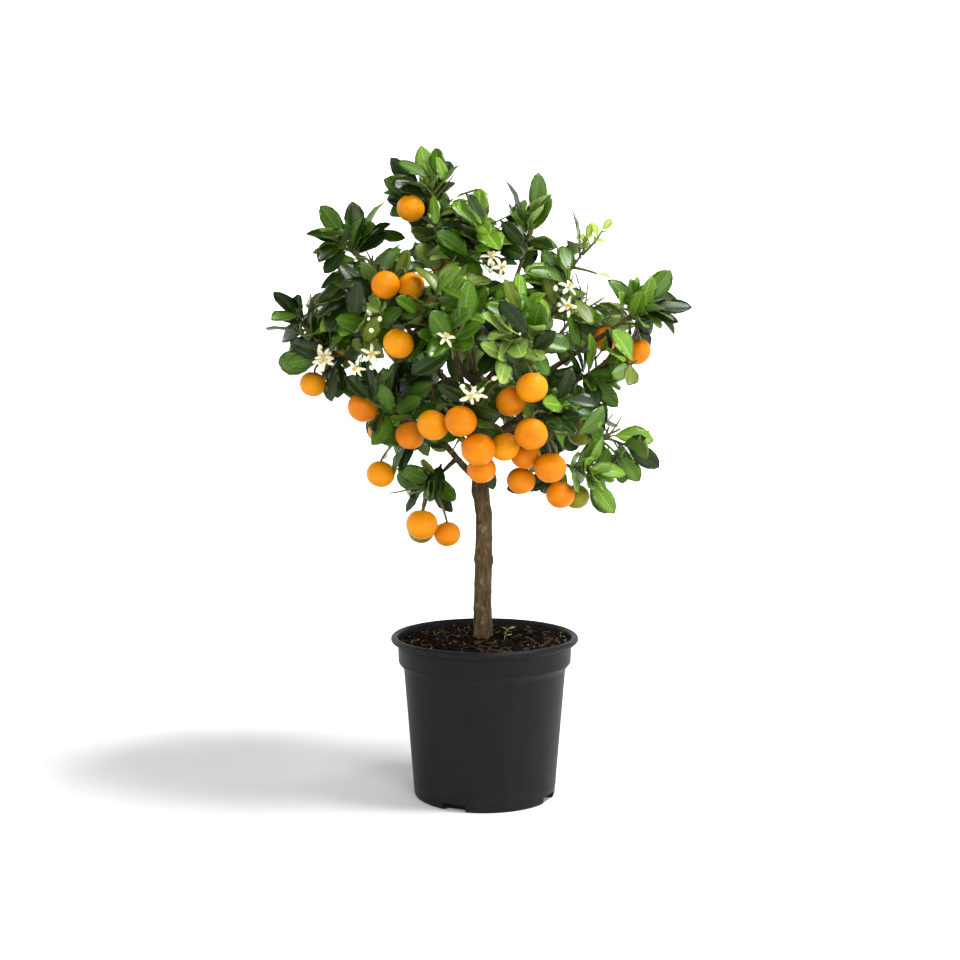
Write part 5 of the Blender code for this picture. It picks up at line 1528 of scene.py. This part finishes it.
def buildPot():
    # The section turned round the axis, with each foot recess and its drain slot pushed in
    p = pot
    profile = potProfile()
    half = math.degrees(math.asin(p["recessWidth"] / 2 / p["baseRadius"]))
    slot = math.degrees(math.asin(p["drainWidth"] / 2 / p["baseRadius"]))
    middles = p["recessFirst"] + np.arange(p["recessCount"]) * 360 / p["recessCount"]
    sideTurn, hair = p["sideTurn"], p["hair"]
    edges = [half, half + sideTurn, slot, slot + sideTurn]
    borders = [middle + sign * edge for middle in middles for edge in edges for sign in (-1, 1)]
    degrees = np.mod(np.concatenate((np.arange(0, 360, p["turnStep"]), borders)), 360)
    angles = np.radians(np.unique(np.round(degrees, 4)))
    turned = np.degrees(angles)[:, None] - middles[None, :]
    nearest = np.abs((turned + 180) % 360 - 180).min(axis=1)
    radius = profile[None, :, 0] + 0 * angles[:, None]
    height = profile[None, :, 1] + 0 * angles[:, None]
    deep = (p["baseRadius"] - p["recessDepth"]) / np.cos(np.radians(nearest))[:, None]
    outside = np.arange(len(profile))[None, :] < int(np.argmax(profile[:, 1]))
    inRecess = (nearest[:, None] <= half + sideTurn / 3) & (height < p["recessHeight"] - hair) & outside
    radius = np.where(inRecess, np.minimum(radius, deep), radius)
    inDrain = (nearest[:, None] <= slot + sideTurn / 3) & outside
    inDrain = inDrain & (height > p["drainLow"] - hair) & (height < p["drainHigh"] + hair)
    radius = np.where(inDrain, np.minimum(radius, deep - p["drainDeep"] * 0.25), radius)
    x, y = radius * np.sin(angles)[:, None], -radius * np.cos(angles)[:, None]
    grid = np.stack((x, y, height), axis=-1)[:, 1:-1].swapaxes(0, 1)
    made = piece("pot_shell", *closedRings(grid, 0.0, p["floor"]), [potFinish()], "pot_plastic")
    made.data.set_sharp_from_angle(angle=math.radians(p["sharpFrom"]))
    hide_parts("pot")


buildPot()
print("pot built")


# The soil: a mound with relief, and crumbs, bark chips, fibres, pale specks and a seedling on it

def moundHeight(x, y):
    # The quarter sine rise from the edge to the flat middle, plus noise in two sizes
    s = soil
    share = np.clip((s["edgeRadius"] - np.hypot(x, y)) / (s["edgeRadius"] - s["flatRadius"]), 0, 1)
    flat = s["edgeHeight"] + (s["topHeight"] - s["edgeHeight"]) * np.sin(math.pi / 2 * share)
    spots = np.stack((x, y, 0 * x), axis=-1)
    rough = ripple(spots, 0.018, 21) * 0.6 + ripple(spots, 0.006, 22) * 0.4 + ripple(spots, 0.0025, 23) * 0.25
    return flat + s["relief"] * rough


def buildSoil():
    # Rings up the pot's inside, a hair clear of it, then the mound's rings from the edge to the middle
    s, p = soil, pot
    turn = circle(s["sides"])
    radii = np.linspace(0.001, s["edgeRadius"], s["rings"])
    x, y = radii[:, None] * np.sin(turn), -radii[:, None] * np.cos(turn)
    top = np.stack((x, y, moundHeight(x, y)), axis=-1)[::-1]
    gap = s["gap"]
    deep = p["baseRadius"] - p["recessDepth"] - p["wall"] - gap * 4
    below = (
        (deep - 0.001, p["floor"] + gap), (deep, p["floor"] + p["recessHeight"]),
        (p["neckRadius"] - p["wall"] - gap, p["neckHeight"]),
        (p["bandRadius"] - p["wall"] - gap, p["bandHeight"] + gap),
    )
    lower = np.array([[(r * math.sin(a), -r * math.cos(a), z) for a in turn] for r, z in below])
    middle = float(moundHeight(np.zeros(1), np.zeros(1))[0])
    points, faces = closedRings(np.concatenate((lower, top)), p["floor"] + gap, middle)
    peat = plainFinish("peat", (20, 15, 11), (11, 8, 6), 0.0030, 0.93, 0.0012)
    made = piece("soil_mound", points, faces, [peat], "soil")
    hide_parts("soil")


def scattered(count, draw, reach=0.97, near=0.0):
    # Places spread evenly over the soil: the root of an even draw times the edge radius
    radius = np.sqrt(draw.uniform(near ** 2, 1, count)) * (soil["edgeRadius"] - 0.001) * reach
    turn = draw.uniform(0, 2 * math.pi, count)
    x, y = radius * np.cos(turn), radius * np.sin(turn)
    return np.stack((x, y, moundHeight(x, y)), axis=-1)


def lumps(name, spots, sizes, stretch, draw, materials, rings=5, sides=6):
    # Small stones and flakes: a ball of few faces, stretched and turned, with each corner moved a little
    count = len(spots)
    polar, turn = np.linspace(0, math.pi, rings + 1)[1:-1, None], circle(sides)
    wide, high = np.sin(polar), np.cos(polar) + 0 * turn
    ball = np.stack((wide * np.cos(turn), wide * np.sin(turn), high), axis=-1).reshape(-1, 3)
    ball = np.concatenate((ball, [(0, 0, 1), (0, 0, -1)]))
    shape = ball[None] * (1 + draw.uniform(-0.28, 0.28, (count, len(ball), 1)))
    drawn = np.asarray(stretch) * (1 + draw.uniform(-0.3, 0.3, (count, 3)))
    shape = shape * drawn[:, None] * sizes[:, None, None]
    a, tilt = draw.uniform(0, 2 * math.pi, count), draw.normal(0, 0.35, count)
    flat = np.stack((np.cos(a), np.sin(a), np.sin(tilt)), axis=-1)
    x = unit(flat)
    z = unit(np.stack((draw.normal(0, 0.3, count), draw.normal(0, 0.3, count), np.ones(count)), axis=-1))
    y = unit(np.cross(z, x))
    z = np.cross(x, y)
    points = spots[:, None] + sum(axis[:, None] * shape[..., i:i + 1] for i, axis in enumerate((x, y, z)))
    faces = shellFaces(rings - 1, sides, count, inward=True)
    slots = shellSlots(draw.integers(0, len(materials), count), rings - 1, sides)
    return piece(name, points.reshape(-1, 3), faces, materials, "soil", slots, smooth=False)


# The seedling: its place across and deep, how its stem leans, and each blade's turn, drop and length
sprout = {
    "place": (0.0200, -0.0140), "leans": (0.003, -0.001, 0.011), "turns": (20.0, 150.0, 250.0, 330.0),
    "drops": (0.0, 0.0, 0.45, 0.60), "lengths": (0.0085, 0.0075, 0.0060, 0.0070), "stemRadius": 0.00045,
    "sinks": 0.0005, "rise": 0.006, "widthShare": 0.42, "thick": 0.0003,
}


def buildLitter():
    # Crumbs, chips and specks lie on the mound; a fibre is a line with a sine bow, sideways and upwards
    s = soil
    draw = np.random.default_rng(s["seed"])
    crumbs = [
        plainFinish("crumbDark", (15, 11, 8), (24, 18, 13), 0.002, 0.95, 0.0006),
        plainFinish("crumbBrown", (34, 25, 18), (20, 15, 11), 0.002, 0.93, 0.0006),
    ]
    chips = [
        plainFinish("chipDark", (40, 29, 20), (26, 19, 13), 0.004, 0.85, 0.0005, (1, 1, 0.4)),
        plainFinish("chipBrown", (62, 46, 32), (40, 30, 21), 0.004, 0.85, 0.0005, (1, 1, 0.4)),
        plainFinish("chipPale", (98, 74, 50), (68, 49, 34), 0.004, 0.85, 0.0005, (1, 1, 0.4)),
    ]
    straw = plainFinish("straw", (108, 86, 58), (74, 58, 38), 0.004, 0.8, 0.0002)
    pale = plainFinish("paleSpeck", (140, 128, 108), (104, 94, 78), 0.002, 0.85, 0.0003)
    sizes = draw.gamma(3.0, 0.00036, s["crumbs"]).clip(0.0004, 0.0030)
    spots = scattered(s["crumbs"], draw) + up * (sizes * 0.3)[:, None]
    lumps("crumbs", spots, sizes, (1.2, 1.0, 0.75), draw, crumbs)
    sizes = draw.uniform(0.0012, 0.0030, s["chips"])
    spots = scattered(s["chips"], draw, 0.96, 0.14) + up * (sizes * 0.35)[:, None]
    lumps("bark_chips", spots, sizes, (1.7, 0.8, 0.35), draw, chips)
    sizes = draw.uniform(0.0003, 0.0010, s["specks"])
    spots = scattered(s["specks"], draw) + up * 0.0010
    lumps("specks", spots, sizes, (1.2, 1.0, 0.8), draw, [pale])
    count = s["fibres"]
    foot = scattered(count, draw, 0.90, 0.16)
    turn, length = draw.uniform(0, 2 * math.pi, count), draw.uniform(0.006, 0.022, count)
    run = np.stack((np.cos(turn), np.sin(turn), np.zeros(count)), axis=-1) * length[:, None]
    side = np.cross(run, up) * draw.uniform(-s["fibreBow"], s["fibreBow"], (count, 1))
    inside = np.linalg.norm((foot + run)[:, :2], axis=1) < s["edgeRadius"] * 0.97
    foot, run, side = foot[inside], run[inside], side[inside]
    shares = np.linspace(0, 1, 9)[None, :, None]
    paths = foot[:, None] + run[:, None] * shares + side[:, None] * np.sin(math.pi * shares)
    ground = moundHeight(paths[..., 0], paths[..., 1])
    paths[..., 2] = ground + s["fibreLift"] + s["fibreArch"] * np.sin(math.pi * shares[..., 0])
    points, faces = tubes(paths, np.full(paths.shape[:2], s["fibreRadius"]), 5, slant)
    piece("fibres", points, faces, [straw], "soil")


def buildSprout():
    # The pale seedling on the soil right of the trunk: a stem that leans, with four small blades
    foot = np.array((*sprout["place"], 0.0))
    foot[2] = moundHeight(foot[:1], foot[1:2])[0] - sprout["sinks"]
    top = foot + np.array(sprout["leans"])
    stem = plainFinish("sproutStem", (146, 150, 96), (120, 128, 72), 0.002, 0.6, 0.0001)
    paths = np.array([bezier([foot, foot + up * sprout["rise"], top], np.linspace(0, 1, 8))])
    points, faces = tubes(paths, np.full((1, 8), sprout["stemRadius"]), 6, (1.0, 0.0, 0.0))
    piece("sprout_stem", points, faces, [stem], "soil")
    turn = np.radians(sprout["turns"])
    along = unit(np.stack((np.cos(turn), np.sin(turn) * 0.6, 0.55 + 0 * turn), axis=-1))
    facing = unit(up - along * along[:, 2:3])
    roots = top - (top - foot) * np.array(sprout["drops"])[:, None]
    length = np.array(sprout["lengths"])
    bend = np.array([(0.2, 0.25, k * 1.7, 0.3) for k in range(len(turn))])
    form = {**leaf, "outline": leafOutline, "thick": sprout["thick"]}
    width = length * sprout["widthShare"]
    points, faces, slots, chart = blades(roots, along, facing, length, width, bend, form)
    piece("sprout_leaves", points, faces, leafFinishes("pale"), "soil", slots, chart)


buildSoil()
buildLitter()
buildSprout()
print("soil built")


# The stage: a pale floor, a white room, soft lights and the camera

stage = {
    "reach": 4.0, "rise": 3.2, "bend": 1.2, "room": 0.02, "glowFrom": 0.30, "glowTo": 1.1,
    "glow": 0.92, "glowAround": 0.12, "backFrom": 0.15, "backTo": 0.80, "glowTop": (1.7, 2.6), "sides": 96,
}
lamps = {
    "keyRight": {"place": (0.95, -0.30, 2.25), "aim": (0, 0, 0.35), "width": 0.7, "height": 0.7, "power": 74},
    "front": {"place": (0.70, -2.20, 1.20), "aim": (0, 0, 0.35), "width": 1.2, "height": 0.9, "power": 27},
    "fillRight": {"place": (1.60, -0.75, 0.50), "aim": (0, 0, 0.15), "width": 0.5, "height": 0.9, "power": 9},
    "fillLeft": {"place": (-1.80, -0.80, 1.00), "aim": (0, 0, 0.35), "width": 0.6, "height": 1.2, "power": 12},
}


def floorFinish():
    # White paper that glows a little more the further it is from the pot, so that the room has no horizon
    paper = finish("paper", Roughness=0.9)
    spot = paper.place()
    far = paper.node("VectorMath", {"operation": "LENGTH"}, {0: spot}, "Value")
    depth = paper.node("SeparateXYZ", {}, {"Vector": spot}, "Y")
    height = paper.node("SeparateXYZ", {}, {"Vector": spot}, "Z")
    behind = depth.between(stage["backFrom"], stage["backTo"])
    level = stage["glowAround"] + behind * (stage["glow"] - stage["glowAround"])
    glow = far.between(stage["glowFrom"], stage["glowTo"]) * level * (1 - height.between(*stage["glowTop"]))
    grain = paper.noise(0.3)
    paper.feed(paper.shader, {"Base Color": paper.blend(grain, (0.90, 0.90, 0.90, 1), (0.88, 0.88, 0.88, 1))})
    paper.feed(paper.shader, {"Emission Strength": 1.0})
    paper.feed(paper.shader, {"Emission Color": paper.blend(glow, (0, 0, 0, 1), (1, 1, 1, 1))})
    return paper.material


def lamp(name, place, aim, width, height, power):
    # A rectangle of light turned to look at its aim
    light = bpy.data.lights.new(name, "AREA")
    light.shape, light.size, light.size_y, light.energy = "RECTANGLE", width, height, power
    made = bpy.data.objects.new(name, light)
    made.location = place
    made.rotation_euler = (Vector(aim) - Vector(place)).to_track_quat("-Z", "Y").to_euler()
    bpy.context.scene.collection.objects.link(made)


def buildStage():
    # The floor and the wall are one section turned round the axis: flat, a quarter bend, then straight up
    reach, rise, bend, sides = stage["reach"], stage["rise"], stage["bend"], stage["sides"]
    curve = arc((reach - bend, bend), bend, -90, 0, 9)
    section = np.array([(0.001, 0.0), (0.5, 0.0), (1.0, 0.0), *curve, (reach, rise)])
    ring = np.stack((np.cos(circle(sides)), np.sin(circle(sides))), axis=-1)
    points = np.concatenate([np.column_stack((ring * r, np.full(sides, z))) for r, z in section])
    i, k = np.arange(len(section) - 1)[:, None] * sides, np.arange(sides)[None, :]
    m = (k + 1) % sides
    quads = np.stack((i + k, i + sides + k, i + sides + m, i + m), axis=-1).reshape(-1, 4).tolist()
    quads += [list(range(sides))]
    mesh = bpy.data.meshes.new("floor")
    mesh.from_pydata(points.tolist(), [], quads)
    mesh.polygons.foreach_set("use_smooth", np.full(len(quads), True))
    floor = bpy.data.objects.new("floor", mesh)
    bpy.context.scene.collection.objects.link(floor)
    paper = floorFinish()
    paper.cycles.emission_sampling = "NONE"
    mesh.materials.append(paper)
    world = bpy.context.scene.world or bpy.data.worlds.new("room")
    bpy.context.scene.world = world
    world.use_nodes = True
    world.node_tree.nodes["Background"].inputs["Color"].default_value = (1, 1, 1, 1)
    world.node_tree.nodes["Background"].inputs["Strength"].default_value = stage["room"]
    for name, lit in lamps.items():
        lamp(name, **lit)


def buildCamera():
    # Level with the crown's middle and tipped down a little
    camera = bpy.data.objects.new("camera", bpy.data.cameras.new("camera"))
    camera.data.sensor_width, camera.data.lens = 36.0, view["lens"]
    camera.location = (0, -view["distance"], view["height"])
    camera.rotation_euler = (math.radians(90 - view["down"]), 0, math.radians(view["left"]))
    bpy.context.scene.collection.objects.link(camera)
    bpy.context.scene.camera = camera
    bpy.context.scene.view_settings.view_transform = "Standard"


buildStage()
buildCamera()
print("stage set")
